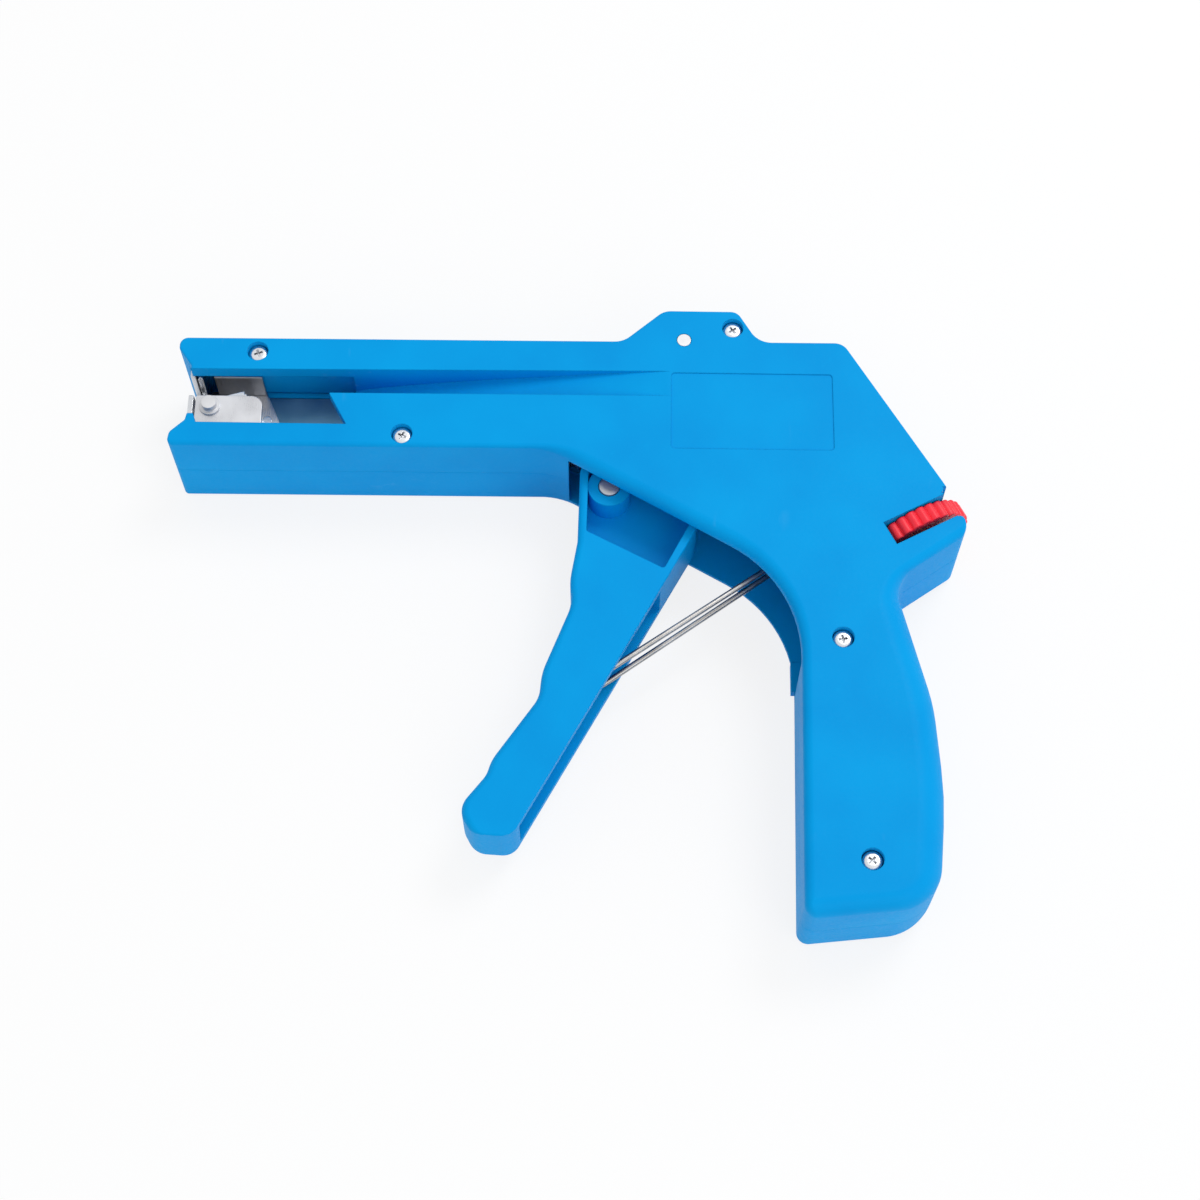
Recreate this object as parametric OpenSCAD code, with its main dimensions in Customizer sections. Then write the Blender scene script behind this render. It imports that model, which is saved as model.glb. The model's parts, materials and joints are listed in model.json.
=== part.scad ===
// Hand tool that tightens and cuts cable ties.
// It lies on its right side: +X runs from the nose to the back, +Y from the grip to the barrel,
// and +Z from the right shell to the left one. X and Y are zero under the trigger's pivot pin
// and on the barrel's centre line, and Z is zero on the right shell's face.

/* [Housing] */
// Thickness across both shells
body_t = 24; // [24:0.5:28]
// Height of the barrel
barrel_h = 24.8; // [24.6:0.2:27]
// From the pivot pin forward to the tip of the nose
nose_reach = 108.2; // [108.2:0.5:112]
// From the pivot pin back to the rear top corner
back_reach = 34.6; // [34:0.2:36]
// Height of the pivot hump over the barrel's centre line
hump_h = 20.5; // [20.3:0.1:23]
// Thickness of the walls round the edge
edge_wall = 2.4; // [2:0.1:2.5]
// Thickness of the two side faces
face_wall = 3.2; // [2.6:0.1:3.3]
// Rounding of the edges round the grip's back and bottom
palm_r = 5; // [3:0.5:6]

/* [Grip] */
// From the barrel's centre line down to the grip's bottom
grip_drop = 112.3; // [108:0.5:122]
// From the pivot pin back to the grip's front
grip_x = 24; // [23.6:0.2:25]
// Depth of the grip from front to back
grip_w = 27.4; // [26.6:0.2:30]
// Slope of the lower edge between the barrel and the grip, in degrees
throat_slope = 30; // [29:0.5:31]
// Radius of the throat over the middle finger
throat_r = 28; // [26:0.5:29]

/* [Trigger] */
// Width of the trigger
trigger_t = 13; // [12:0.2:13.2]
// Length of the trigger below its pivot pin
trigger_len = 110.7; // [106:0.5:114]
// Wall of the trigger's channel
trigger_wall = 2; // [1.6:0.1:2.2]
// Diameter of the pivot pin
pivot_d = 3; // [2.6:0.1:3.4]
// Diameter of the link pin in the trigger
link_pin_d = 4.5; // [4:0.1:4.8]
// How far the link pin lies in front of the pivot pin
link_arm_x = 15.5; // [15:0.1:16]
// How far the link pin lies below the pivot pin
link_arm_y = 32.1; // [31.6:0.1:32.6]

/* [Tie window] */
// Height of the window in the left shell
window_h = 13.3; // [12.8:0.1:13.4]
// From the tip of the nose back to the window's rear end
window_len = 33.3; // [32.8:0.1:34.2]
// Depth of the exit groove at its front end
ramp_depth = 9.4; // [8.6:0.1:9.5]
// Width of the exit groove
groove_w = 5.9; // [5.4:0.1:6]

/* [Gripper] */
// Thickness of the carriage's sheet steel
sheet_t = 1; // [0.8:0.1:1.1]
// Thickness of the pull bar
bar_t = 1.8; // [1.5:0.1:2]
// Width of the pull bar
bar_w = 10; // [9:0.2:10]
// Thickness of the pull link
link_t = 1.6; // [1.3:0.1:1.6]
// Thickness of the blade
blade_t = 1.1; // [0.9:0.1:1.2]
// Thickness of the nose plate
nose_plate_t = 1.1; // [0.9:0.1:1.2]
// Thickness of the cutter lever
lever_t = 1.6; // [1.3:0.1:1.7]

/* [Tension knob] */
// Diameter of the knob
knob_d = 23.8; // [23:0.2:23.8]
// Thickness of the knob
knob_t = 3.6; // [3.2:0.1:3.9]
// Number of flutes round the knob
flutes = 31; // [25:1:34]
// Diameter of the tension rod
rod_d = 4.8; // [4.2:0.1:5]

/* [Springs and screws] */
// Diameter of the return spring's wire
return_wire_d = 1.3; // [1:0.1:1.4]
// Diameter of the tension spring's wire
tension_wire_d = 1.1; // [0.9:0.1:1.2]
// Curls of the tension spring
tension_curls = 9; // [6:1:9]
// Diameter of the screw heads
screw_head_d = 4.2; // [3.8:0.1:4.3]
// Diameter of the screw shanks
screw_d = 2.2; // [1.8:0.1:2.4]

/* [Hidden] */

$fn = 48;
plastic_blue = [0.00, 0.55, 0.90];
knob_red = [0.90, 0.13, 0.18];
bright_steel = [0.82, 0.84, 0.87];
dark_steel = [0.16, 0.30, 0.42];
spring_steel = [0.45, 0.42, 0.40];
brass = [0.80, 0.66, 0.32];

// Overrun of every cut past the face that it leaves
over = 1;
// Running gaps: between flat pieces that slide, and round a shaft in its bore
slide_gap = 0.3;
bore_gap = 0.05;
// Gap between two curls of a spring
curl_gap = 0.5;
// Largest turn of an arc between two of its points, in degrees, and the smallest arc radius
arc_step = 12;
least_r = 0.3;

// Heights through the part
mid_z = body_t / 2;
inner_z0 = face_wall;
inner_z1 = body_t - face_wall;
carriage_lift = 0.4;
floor_z1 = mid_z + carriage_lift;
floor_z0 = floor_z1 - sheet_t;
bar_z0 = floor_z0 - bar_t;
link_z0 = bar_z0 - link_t - slide_gap;
lever_z0 = inner_z0 + slide_gap;
trigger_z0 = mid_z - trigger_t / 2;
trigger_z1 = mid_z + trigger_t / 2;

// Places that many pieces share
barrel_y = barrel_h / 2;
pivot_y = 13.5;
pivot_r = pivot_d / 2;
link_pin_r = link_pin_d / 2;
link_pin_at = [-link_arm_x, pivot_y - link_arm_y];
front_pin_at = [-38, -3];
front_pin_r = 1.9;
window_y1 = 5.4;
window_y0 = window_y1 - window_h;

// The nose: how far its mouth lies behind the tip, and half the mouth's height
mouth_depth = 3.6;
mouth_half = 5.85;
mouth_x = mouth_depth - nose_reach;

// Places that keep their distance to the tip of the nose
function behind_tip(d) = d - nose_reach;

// The slanted back: its angle from upright, and the length down to the tail's tip
back_slant = 27.9;
back_dir = [sin(back_slant), -cos(back_slant)];
back_out = [cos(back_slant), sin(back_slant)];
tail_len = 49;
rear_dip = 0.1;
back_corner = [back_reach, barrel_y - rear_dip];
tail_tip = back_corner + back_dir * tail_len;

// Vector helpers
function unit(v) = v / norm(v);
function left_of(v) = [-v[1], v[0]];
function turn_of(a, b) = atan2(a[0] * b[1] - a[1] * b[0], a * b);
function spin(v, g) = [v[0] * cos(g) - v[1] * sin(g), v[0] * sin(g) + v[1] * cos(g)];
function flat(v) = [v[0], v[1]];

// Points of an outline given as corners [x, y, corner radius], drawn in by a distance all round
function outline(c, draw_in = 0) =
  let (n = len(c))
  [for (i = [0 : n - 1])
    let (p = flat(c[i]), t1 = unit(p - flat(c[(i + n - 1) % n])), t2 = unit(flat(c[(i + 1) % n]) - p),
         n1 = left_of(t1), n2 = left_of(t2),
         v = p + (n1 + n2) * draw_in / (1 + n1 * n2),
         w = turn_of(t1, t2),
         r = w > 0 ? max(c[i][2] - draw_in, least_r) : c[i][2] + draw_in,
         start = v - t1 * r * tan(abs(w) / 2),
         centre = start + n1 * r * sign(w),
         steps = max(1, ceil(abs(w) / arc_step)))
    for (j = [0 : steps]) centre + spin(start - centre, w * j / steps)];

// Straight plate between two heights
module slab(points, z0, z1) {
  translate([0, 0, z0]) linear_extrude(height = z1 - z0) polygon(points);
}

// Upright cylinder between two heights
module post(at, r, z0, z1) {
  translate([at[0], at[1], z0]) cylinder(r = r, h = z1 - z0);
}

// Box between two corners
module block(low, high) {
  translate(low) cube(high - low);
}

// Moves a shape that stands on Z to lie along the slanted back's direction
module along_back(at) {
  translate([at[0], at[1], mid_z]) rotate([0, 0, -90 + back_slant]) rotate([0, 90, 0]) children();
}

// Housing outline

lip_r = 2.2;
nose_r = 1.5;
foot_r = 5;
hump_rear_r = 2.5;
hump_front_r = 4;
knee_r = 22;
heel_r = 9;
toe_r = 2.5;
tail_r = 2.6;
neck_r = 7.5;
corner_r = 3;
small_r = 0.5;
front_edge_r = 1.6;

// The lip's step, and the hump's two shoulders and two feet, from the pivot pin
lip_back = 0.9;
lip_drop = 3.4;
hump_front_x = -4.3;
hump_rear_x = 11.4;
hump_foot_front = -13;
hump_foot_rear = 15.9;
throat_y = 43.6;

knee = [grip_x - (throat_y - barrel_y) / tan(throat_slope), -barrel_y];
front_lean = 0.8;

// Corners of the grip's back: shares of the grip's depth, and of its height below the throat
back_shares = [[0.932, 0.975], [1.007, 0.632], [0.962, 0.348], [0.728, -0.03]];
palm_low_r = 80;
palm_high_r = 40;
back_radii = [heel_r, palm_low_r, palm_high_r, neck_r];

grip_h = grip_drop - throat_y;
function grip_back(i) = [grip_x + grip_w * back_shares[i][0], -throat_y - grip_h * back_shares[i][1]];

shell_corners = [
  [behind_tip(lip_back), barrel_y, lip_r],
  [behind_tip(lip_back), mouth_half + lip_drop, nose_r],
  [mouth_x, mouth_half, small_r],
  [mouth_x, -mouth_half, small_r],
  [-nose_reach, -barrel_y, nose_r],
  [knee[0], knee[1], knee_r],
  [grip_x, -throat_y, throat_r],
  [grip_x - front_lean, -grip_drop, toe_r],
  [grip_back(0)[0], grip_back(0)[1], back_radii[0]],
  [grip_back(1)[0], grip_back(1)[1], back_radii[1]],
  [grip_back(2)[0], grip_back(2)[1], back_radii[2]],
  [grip_back(3)[0], grip_back(3)[1], back_radii[3]],
  [tail_tip[0], tail_tip[1], tail_r],
  [back_corner[0], back_corner[1], corner_r],
  [hump_foot_rear, barrel_y - rear_dip, foot_r],
  [hump_rear_x, hump_h, hump_rear_r],
  [hump_front_x, hump_h, hump_front_r],
  [hump_foot_front, barrel_y, foot_r]];

// Outline of the room inside, which stops short of the nose
lip_corners = 5;
room_corners = concat(
  [[mouth_x, barrel_y, small_r], [mouth_x, -barrel_y, small_r]],
  [for (i = [lip_corners : len(shell_corners) - 1]) shell_corners[i]]);

// Knob and rod on the slanted axis: the knob's centre and how far the axis lies inside the back
knob_drop = 42.5;
axis_inset = 5.9;
knob_r = knob_d / 2;
rod_r = rod_d / 2;
knob_at = back_corner + back_dir * knob_drop - back_out * axis_inset;
slot_gap = 0.45;
slot_t = knob_t + 2 * slot_gap;
rim_gap = 2.4;
slot_r = knob_r + rim_gap;
web_t = 2.4;
web_len = slot_t + 2 * web_t;
web_side = 20;
function on_axis(up) = knob_at - back_dir * up;

// Screws: places, how deep the heads sit, and their heights
nose_screw_back = 17.5;
screw_at = [[behind_tip(nose_screw_back), 9.4], [-59.1, -10], [10.4, 16.6], [32.1, -55], [36.5, -101.5]];
screw_sink = 1.2;
screw_head_t = 1.8;
screw_len = 15;
screw_z1 = body_t - screw_sink - screw_head_t;
sink_r = screw_head_d / 2 + slide_gap / 2;
screw_r = screw_d / 2;
boss_r = 2.9;

// Return spring: where its pin stands, and the radius of the pin and of the coils
return_at = [28, -24.8];
return_pin_r = 1.5;
return_coil_r = 2.6;

// Shapes that both shells share, drawn for the upper half between mid_z and the face

// Section of the plastic that a rounded edge takes away: the wall stands on the right of it.
// The rounding is drawn in short straight steps, and both ends run out past the faces.
edge_steps = 6;
function edge_point(r, i) = let (g = 90 * i / edge_steps) [r - r * cos(g), r * sin(g) - r];
module edge_section(r) {
  points = [for (i = [0 : edge_steps]) edge_point(r, i)];
  start = points[0] + (points[0] - points[1]) / 2;
  end = points[edge_steps] + (points[edge_steps] - points[edge_steps - 1]) / 2;
  polygon(concat([start], [for (i = [1 : edge_steps - 1]) points[i]],
                 [end, [end[0], over], [-over, over], [-over, start[1]]]));
}

// Rounding along a straight edge from one corner to the next, shortened at each end
module edge_along(a, b, r, cut_a, cut_b) {
  t = unit(b - a);
  translate([a[0], a[1], body_t]) rotate([0, 0, atan2(t[1], t[0]) + 90]) rotate([90, 0, 0])
    translate([0, 0, cut_a]) linear_extrude(height = norm(b - a) - cut_a - cut_b) edge_section(r);
}

// Rounding past a hollow corner
function corner_turn(i) = turn_of(unit(flat(shell_corners[i]) - flat(shell_corners[i - 1])),
                                  unit(flat(shell_corners[i + 1]) - flat(shell_corners[i])));
function corner_cut(i) = shell_corners[i][2] * tan(abs(corner_turn(i)) / 2);
function corner_centre(i) = let (t = unit(flat(shell_corners[i]) - flat(shell_corners[i - 1])))
  flat(shell_corners[i]) - t * corner_cut(i) + left_of(t) * shell_corners[i][2] * sign(corner_turn(i));

module hollow_corner(i, r) {
  c = corner_centre(i);
  translate([c[0], c[1], body_t]) rotate_extrude()
    translate([shell_corners[i][2], 0]) edge_section(r);
}

toe = 7;
heel = 8;
neck = 11;
module palm_edges() {
  for (i = [toe : neck - 1])
    edge_along(flat(shell_corners[i]), flat(shell_corners[i + 1]), palm_r,
               i <= heel ? -palm_r : -over,
               i == toe ? -palm_r : i == neck - 1 ? corner_cut(neck) : -over);
  hollow_corner(neck, palm_r - slide_gap);
  edge_along(flat(shell_corners[toe - 1]), flat(shell_corners[toe]), front_edge_r,
             corner_cut(toe - 1), -over);
}

module shell_block() {
  difference() {
    slab(outline(shell_corners), mid_z, body_t);
    palm_edges();
  }
}

// Inside of a shell: the room between its walls, less the screw bosses, the webs that hold the
// knob and the rod, and whatever else the shell has inside
module shell_room() {
  difference() {
    slab(outline(room_corners, edge_wall), mid_z - over, inner_z1);
    along_back(knob_at) translate([-body_t, -web_side, -web_len / 2])
      cube([2 * body_t, 2 * web_side, tail_len - knob_drop + web_len / 2]);
    for (s = screw_at) post(s, boss_r, mid_z - 2 * over, body_t);
    children();
  }
}

// Mouth of the housing for the trigger, from its front edge round the throat to the grip
slot_front_x = -24.1;
slot_low_y = -59.6;
mouth_z_gap = 0.3;
module trigger_mouth() {
  slab([[slot_front_x, -barrel_y + 2 * edge_wall], [slot_front_x, slot_low_y],
        [grip_x + edge_wall, slot_low_y], [grip_x + edge_wall, -throat_y / 2]],
       mid_z - over, inner_z1 + mouth_z_gap);
}

module knob_slot() {
  along_back(knob_at) translate([0, 0, -slot_t / 2]) cylinder(r = slot_r, h = slot_t);
}

// Half channel for the tension rod through the webs
rod_reach = 18;
rod_tail = 3.6;
tail_room = 1.3;
module rod_channel() {
  along_back(knob_at) translate([0, 0, -rod_reach])
    cylinder(r = rod_r + 2 * bore_gap, h = rod_reach + rod_tail + tail_room);
}

// Pocket in the nose for the nose plate and the blade
plate_seat_share = 0.6;
nose_plate_x = mouth_x - plate_seat_share * nose_plate_t;
plate_y0 = -8.6;
plate_y1 = 9.4;
blade_x = nose_plate_x + nose_plate_t + slide_gap;
pocket_gap = 0.15;
module nose_pocket() {
  block([nose_plate_x - pocket_gap, plate_y0 - slide_gap, mid_z - over],
        [mouth_x + edge_wall + over, plate_y1 + slide_gap, inner_z1]);
}

// The left shell's window, step and exit groove
step_len = 4;
ramp_start = -5.1;
ramp_back = 37.8;
window_x = behind_tip(window_len);
ramp_end = behind_tip(ramp_back);
ramp_wall = 1.4;
panel = [[-2.7, -12.6], [31.4, 5]];
panel_depth = 0.4;
pivot_boss_r = 3.6;

// Height of the exit groove's floor: shares of the way from its rear end, and of its depth
ramp_shares = [[0, 0], [0.113, 0.085], [0.38, 0.303], [0.646, 0.52], [0.86, 0.76], [0.955, 0.9], [1, 1]];
function ramp_line(drop) = [for (s = ramp_shares)
  [ramp_start + (ramp_end - ramp_start) * s[0], body_t - ramp_depth * s[1] - drop]];
groove_y0 = window_y1 - groove_w;

module across(y0, y1) {
  translate([0, y1, 0]) rotate([90, 0, 0]) linear_extrude(height = y1 - y0) children();
}

module window_cut() {
  slab([[-nose_reach - over, window_y1], [-nose_reach - over, window_y0],
        [window_x + step_len, window_y0], [window_x, groove_y0], [ramp_end, groove_y0],
        [ramp_end, window_y1]], mid_z - over, body_t + over);
}

module groove_cut() {
  across(groove_y0, window_y1)
    polygon(concat(ramp_line(0), [[ramp_end - over, body_t - ramp_depth],
                                  [ramp_end - over, body_t + over], [ramp_start, body_t + over]]));
}

module groove_body() {
  across(groove_y0 - ramp_wall, window_y1 + ramp_wall)
    polygon(concat(ramp_line(ramp_wall), [[ramp_end, body_t], [ramp_start, body_t]]));
}

module housing_left() {
  color(plastic_blue) difference() {
    shell_block();
    shell_room() {
      post([0, pivot_y], pivot_boss_r, trigger_z1 + slide_gap, body_t);
      groove_body();
    }
    trigger_mouth();
    knob_slot();
    rod_channel();
    nose_pocket();
    window_cut();
    groove_cut();
    block([panel[0][0], panel[0][1], body_t - panel_depth], [panel[1][0], panel[1][1], body_t + over]);
    for (s = screw_at) {
      post(s, sink_r, screw_z1, body_t + over);
      post(s, screw_r + bore_gap, mid_z - over, body_t);
    }
    post([0, pivot_y], pivot_r + bore_gap, mid_z, body_t + over);
    post(return_at, return_pin_r + bore_gap, mid_z, inner_z1 + face_wall / 2);
  }
}

// Guides in the right shell on which the pull bar slides
guide_back = 11.2;
guide_x0 = behind_tip(guide_back);
guide_x1 = -48;
guide_ledge = 1.1;
guide_t = 1.3;
module bar_guides() {
  half = bar_w / 2 + slide_gap;
  for (side = [-1, 1]) {
    block([guide_x0, side > 0 ? half : -half - guide_t, body_t - floor_z0 + slide_gap],
          [guide_x1, side > 0 ? half + guide_t : -half, body_t]);
    block([guide_x0, side > 0 ? half - guide_ledge / 2 : -half - guide_t, body_t - bar_z0 + slide_gap],
          [guide_x1, side > 0 ? half + guide_t : guide_ledge / 2 - half, body_t]);
  }
}

// The right shell is drawn upright like the left one, and then turned over
module housing_right() {
  color(plastic_blue) translate([0, 0, body_t]) mirror([0, 0, 1]) difference() {
    shell_block();
    shell_room() bar_guides();
    trigger_mouth();
    knob_slot();
    rod_channel();
    nose_pocket();
    for (s = screw_at) post(s, screw_r + bore_gap, mid_z - over, body_t - screw_z1 + screw_len + over);
    post([0, pivot_y], pivot_r + bore_gap, mid_z, inner_z1 + face_wall / 2);
    post(return_at, return_pin_r + bore_gap, mid_z, inner_z1 + face_wall / 2);
  }
}

// Screws, pins and the nose plate

cross_w = 0.6;
cross_len = 2.4;
cross_depth = 0.9;
cross_turn = 20;
module housing_screws() {
  color(bright_steel) for (s = screw_at) difference() {
    union() {
      post(s, screw_head_d / 2, screw_z1, screw_z1 + screw_head_t);
      post(s, screw_r, screw_z1 - screw_len, screw_z1);
    }
    for (g = [0, 90]) translate([s[0], s[1], screw_z1 + screw_head_t - cross_depth])
      rotate([0, 0, g + cross_turn]) translate([-cross_len / 2, -cross_w / 2, 0])
        cube([cross_len, cross_w, cross_depth + over]);
  }
}

module trigger_pivot_pin() {
  color(bright_steel) post([0, pivot_y], pivot_r, face_wall / 2, body_t);
}

module return_spring_pin() {
  color(bright_steel) post(return_at, return_pin_r, face_wall / 2, inner_z1 + face_wall / 2);
}

slit_y0 = 0.6;
slit_y1 = 5;
plate_end_gap = 0.6;
module nose_plate() {
  color(bright_steel) difference() {
    block([nose_plate_x, plate_y0, inner_z0 + plate_end_gap],
          [nose_plate_x + nose_plate_t, plate_y1, inner_z1 - plate_end_gap]);
    block([nose_plate_x - over, slit_y0, floor_z1 - slide_gap],
          [nose_plate_x + nose_plate_t + over, slit_y1, body_t]);
  }
}

// Trigger: corners in shares of its length below the pivot pin, with radii in shares too

hub_r = 4;
finger_shares = [
  [-0.196, 0.258, 0.03], [-0.198, 0.405, 0.03], [-0.211, 0.487, 0.14], [-0.206, 0.535, 0.08],
  [-0.258, 0.672, 0.12], [-0.262, 0.722, 0.06], [-0.345, 0.845, 0.09], [-0.352, 0.872, 0.05],
  [-0.402, 0.94, 0.04], [-0.372, 0.994, 0.035], [-0.288, 0.998, 0.033], [0.028, 0.375, 0.1]];
hub_round_share = 0.96;
hub_round = hub_round_share * hub_r;
function on_trigger(s) = [trigger_len * s[0], pivot_y - trigger_len * s[1]];
function finger(i) = let (s = finger_shares[i], p = on_trigger(s)) [p[0], p[1], trigger_len * s[2]];
last_finger = len(finger_shares) - 2;

trigger_corners = concat(
  [[-hub_r, pivot_y + hub_r, hub_round]],
  [for (i = [0 : last_finger + 1]) finger(i)],
  [[hub_r, pivot_y + hub_r, hub_round]]);

// The channel ends below this line, and above it the trigger is a web with a rib at each edge
arm_front = [-0.19, 0.395];
arm_rear = [0.03, 0.45];
web_half = 1.5;
front_wall = 2.5;
rib_t = 1.8;
eye_gap = 0.75;
link_boss_r = 4;
pin_end_gap = 0.4;
open_share = 0.1;

// The channel follows the front and the lower end, and runs out through the rear
channel_corners = concat(
  [[on_trigger(arm_front)[0], on_trigger(arm_front)[1], small_r]],
  [for (i = [2 : last_finger - 1]) finger(i)],
  [for (s = [finger_shares[last_finger], arm_rear])
    let (p = on_trigger(s + [open_share, 0])) [p[0], p[1], small_r]]);

// The arm's recesses lie between the ribs, above the channel
arm_corners = [
  [on_trigger(arm_front)[0] - front_wall, on_trigger(arm_front)[1], front_wall],
  [on_trigger(arm_rear)[0], on_trigger(arm_rear)[1], front_wall],
  [hub_r, pivot_y, front_wall], [-hub_r, pivot_y, front_wall],
  [on_trigger(finger_shares[0])[0], on_trigger(finger_shares[0])[1], front_wall]];

module trigger_channel() {
  slab(outline(channel_corners, front_wall), trigger_z0 + trigger_wall, trigger_z1 - trigger_wall);
}

// Recess of the upper arm on one side
module arm_recess(z0, z1) {
  difference() {
    slab(outline(arm_corners, rib_t), z0, z1);
    post([0, pivot_y], hub_r, z0 - over, z1 + over);
  }
}

module trigger() {
  color(plastic_blue) difference() {
    slab(outline(trigger_corners), trigger_z0, trigger_z1);
    trigger_channel();
    difference() {
      arm_recess(mid_z + web_half, trigger_z1 + over);
      post(link_pin_at, link_boss_r, mid_z, trigger_z1 - 2 * pin_end_gap);
    }
    arm_recess(trigger_z0 - over, mid_z - web_half);
    link_window();
    post([0, pivot_y], pivot_r + bore_gap, trigger_z0 - over, trigger_z1 + over);
    post(link_pin_at, link_pin_r + bore_gap, trigger_z0, trigger_z1 + over);
  }
}

// Gap in the trigger's front rib through which the link swings
module link_window() {
  half = link_boss_r + 2 * eye_gap;
  block([-trigger_len, link_pin_at[1] - half, link_z0 - slide_gap],
        [link_pin_at[0] + half, pivot_y - hub_r, link_z0 + link_t + slide_gap]);
}

link_head_r = 3.4;
link_head_t = 1;
module link_pin() {
  color(bright_steel) union() {
    post(link_pin_at, link_pin_r, link_z0 - slide_gap, trigger_z1 - pin_end_gap);
    post(link_pin_at, link_head_r, link_z0 - slide_gap - link_head_t, link_z0 - slide_gap);
  }
}

// Pull link, its front pin and the pull bar

// The link is cranked, so that it runs out through the trigger's mouth
link_eye_r = 4.4;
front_eye_r = 3;
link_bend = [-20.6, -7.4];
link_half = 2.2;
function strip(a, b, half) = let (n = left_of(unit(b - a)) * half) [a - n, b - n, b + n, a + n];
module pull_link() {
  z1 = link_z0 + link_t;
  color(bright_steel) difference() {
    union() {
      post(front_pin_at, front_eye_r, link_z0, z1);
      post(link_pin_at, link_eye_r, link_z0, z1);
      post(link_bend, link_half, link_z0, z1);
      slab(strip(front_pin_at, link_bend, link_half), link_z0, z1);
      slab(strip(link_bend, link_pin_at, link_half), link_z0, z1);
    }
    post(front_pin_at, front_pin_r + bore_gap, link_z0 - over, z1 + over);
    post(link_pin_at, link_pin_r + eye_gap, link_z0 - over, z1 + over);
  }
}

rivet_head_t = 0.6;
rivet_head_r = 2.6;
module link_front_pin() {
  color(bright_steel) union() {
    post(front_pin_at, front_pin_r, link_z0 - slide_gap, floor_z0);
    post(front_pin_at, rivet_head_r, link_z0 - slide_gap - rivet_head_t, link_z0 - slide_gap);
  }
}

bar_x0 = behind_tip(6.7);
bar_neck_x = -46;
bar_belly = 1;
rivet_at = [[behind_tip(10.7), 2], [behind_tip(18.7), -1]];
rivet_r = 1.1;
pawl_at = [behind_tip(7.7), -2.2];
pawl_pin_r = 1.3;
bar_corner_r = 2;
module pull_bar() {
  half = bar_w / 2;
  bar_corners = [
    [bar_x0, half, bar_corner_r], [bar_x0, -half, bar_corner_r], [bar_neck_x, -half, foot_r],
    [front_pin_at[0] + front_eye_r, -half - bar_belly, front_eye_r],
    [front_pin_at[0] + front_eye_r, front_pin_at[1] + front_eye_r, front_eye_r],
    [bar_neck_x, half, foot_r]];
  color(dark_steel) difference() {
    slab(outline(bar_corners), bar_z0, floor_z0);
    post(front_pin_at, front_pin_r, bar_z0 - over, floor_z0 + over);
    post(pawl_at, pawl_pin_r, bar_z0 - over, floor_z0 + over);
    for (p = rivet_at) post(p, rivet_r, bar_z0 - over, floor_z0 + over);
  }
}

// Gripper carriage: a sheet folded round the tie, open towards the window

carriage_x0 = behind_tip(6.3);
near_x0 = behind_tip(4.6);
anvil_x0 = behind_tip(8);
anvil_x1 = behind_tip(18.2);
near_x1 = behind_tip(18.8);
near_top_y = 0.4;
carriage_low_y = -8.6;
anvil_y = 5;
near_z1 = inner_z1 - slide_gap;
anvil_t = 0.8;
near_r = 2.5;
fold_len = 5;
fold_share = 0.6;
module gripper_carriage() {
  anvil_y1 = anvil_y + anvil_t;
  color(bright_steel) difference() {
    union() {
      slab([[carriage_x0, carriage_low_y], [anvil_x1 + fold_len, carriage_low_y],
            [anvil_x1 + fold_len * fold_share, -anvil_t], [anvil_x1, anvil_y1], [carriage_x0, anvil_y1]],
           floor_z0, floor_z1);
      block([carriage_x0, carriage_low_y, floor_z0],
            [near_x1, carriage_low_y + sheet_t, near_z1]);
      slab(outline([[near_x0, near_top_y, small_r], [near_x0, carriage_low_y, small_r],
                    [near_x1, carriage_low_y, small_r], [near_x1, near_top_y, near_r]]),
           near_z1 - sheet_t, near_z1);
      block([anvil_x0, anvil_y, floor_z0], [anvil_x1, anvil_y1, near_z1 - slide_gap]);
    }
    post(pawl_at, pawl_pin_r, floor_z0 - over, near_z1 + over);
    for (p = rivet_at) post(p, rivet_r, floor_z0 - over, floor_z1 + over);
  }
}

rivet_flat_r = 1.8;
module carriage_rivets() {
  color(bright_steel) for (p = rivet_at) union() {
    post(p, rivet_r, bar_z0, floor_z1);
    post(p, rivet_flat_r, bar_z0 - rivet_head_t, bar_z0);
  }
}

ring_r = 2.25;
ring_t = 0.5;
head_r = 1.6;
head_t = 1.5;
module pawl_pin() {
  color(bright_steel) union() {
    post(pawl_at, pawl_pin_r, bar_z0, near_z1);
    post(pawl_at, ring_r, near_z1, near_z1 + ring_t);
    post(pawl_at, head_r, near_z1 + ring_t, near_z1 + ring_t + head_t);
  }
}

// Toothed pawl: its nose as seen from the pin, with a row of teeth over the nose
pawl_hub_r = 2.4;
pawl_z0 = floor_z1 + slide_gap;
pawl_z1 = near_z1 - sheet_t - slide_gap;
pawl_teeth = 5;
tooth_h = 0.45;
nose_a = [6.4, 4.4];
nose_b = [9.6, 2.2];
nose_bulge = 1.8;
// Corners round the pawl's hub, in shares of its radius
pawl_top_shares = [-0.6, 0.8];
pawl_low_shares = [-0.4, -0.9, -1];
module gripper_pawl() {
  teeth = [for (i = [0 : pawl_teeth * 2]) let (f = i / (pawl_teeth * 2))
    pawl_at + nose_a * (1 - f) + nose_b * f
      + left_of(unit(nose_a - nose_b)) * (nose_bulge * f * (1 - f) - tooth_h * (i % 2))];
  color(bright_steel) difference() {
    union() {
      post(pawl_at, pawl_hub_r, pawl_z0, pawl_z1);
      slab(concat([pawl_at + pawl_hub_r * pawl_top_shares], teeth,
                  [pawl_at + [nose_b[0], pawl_hub_r * pawl_low_shares[0]],
                   pawl_at + [nose_a[0], pawl_hub_r * pawl_low_shares[1]],
                   pawl_at + [0, pawl_hub_r * pawl_low_shares[2]]]),
           pawl_z0, pawl_z1);
    }
    post(pawl_at, pawl_pin_r + bore_gap, pawl_z0 - over, pawl_z1 + over);
  }
}

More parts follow.
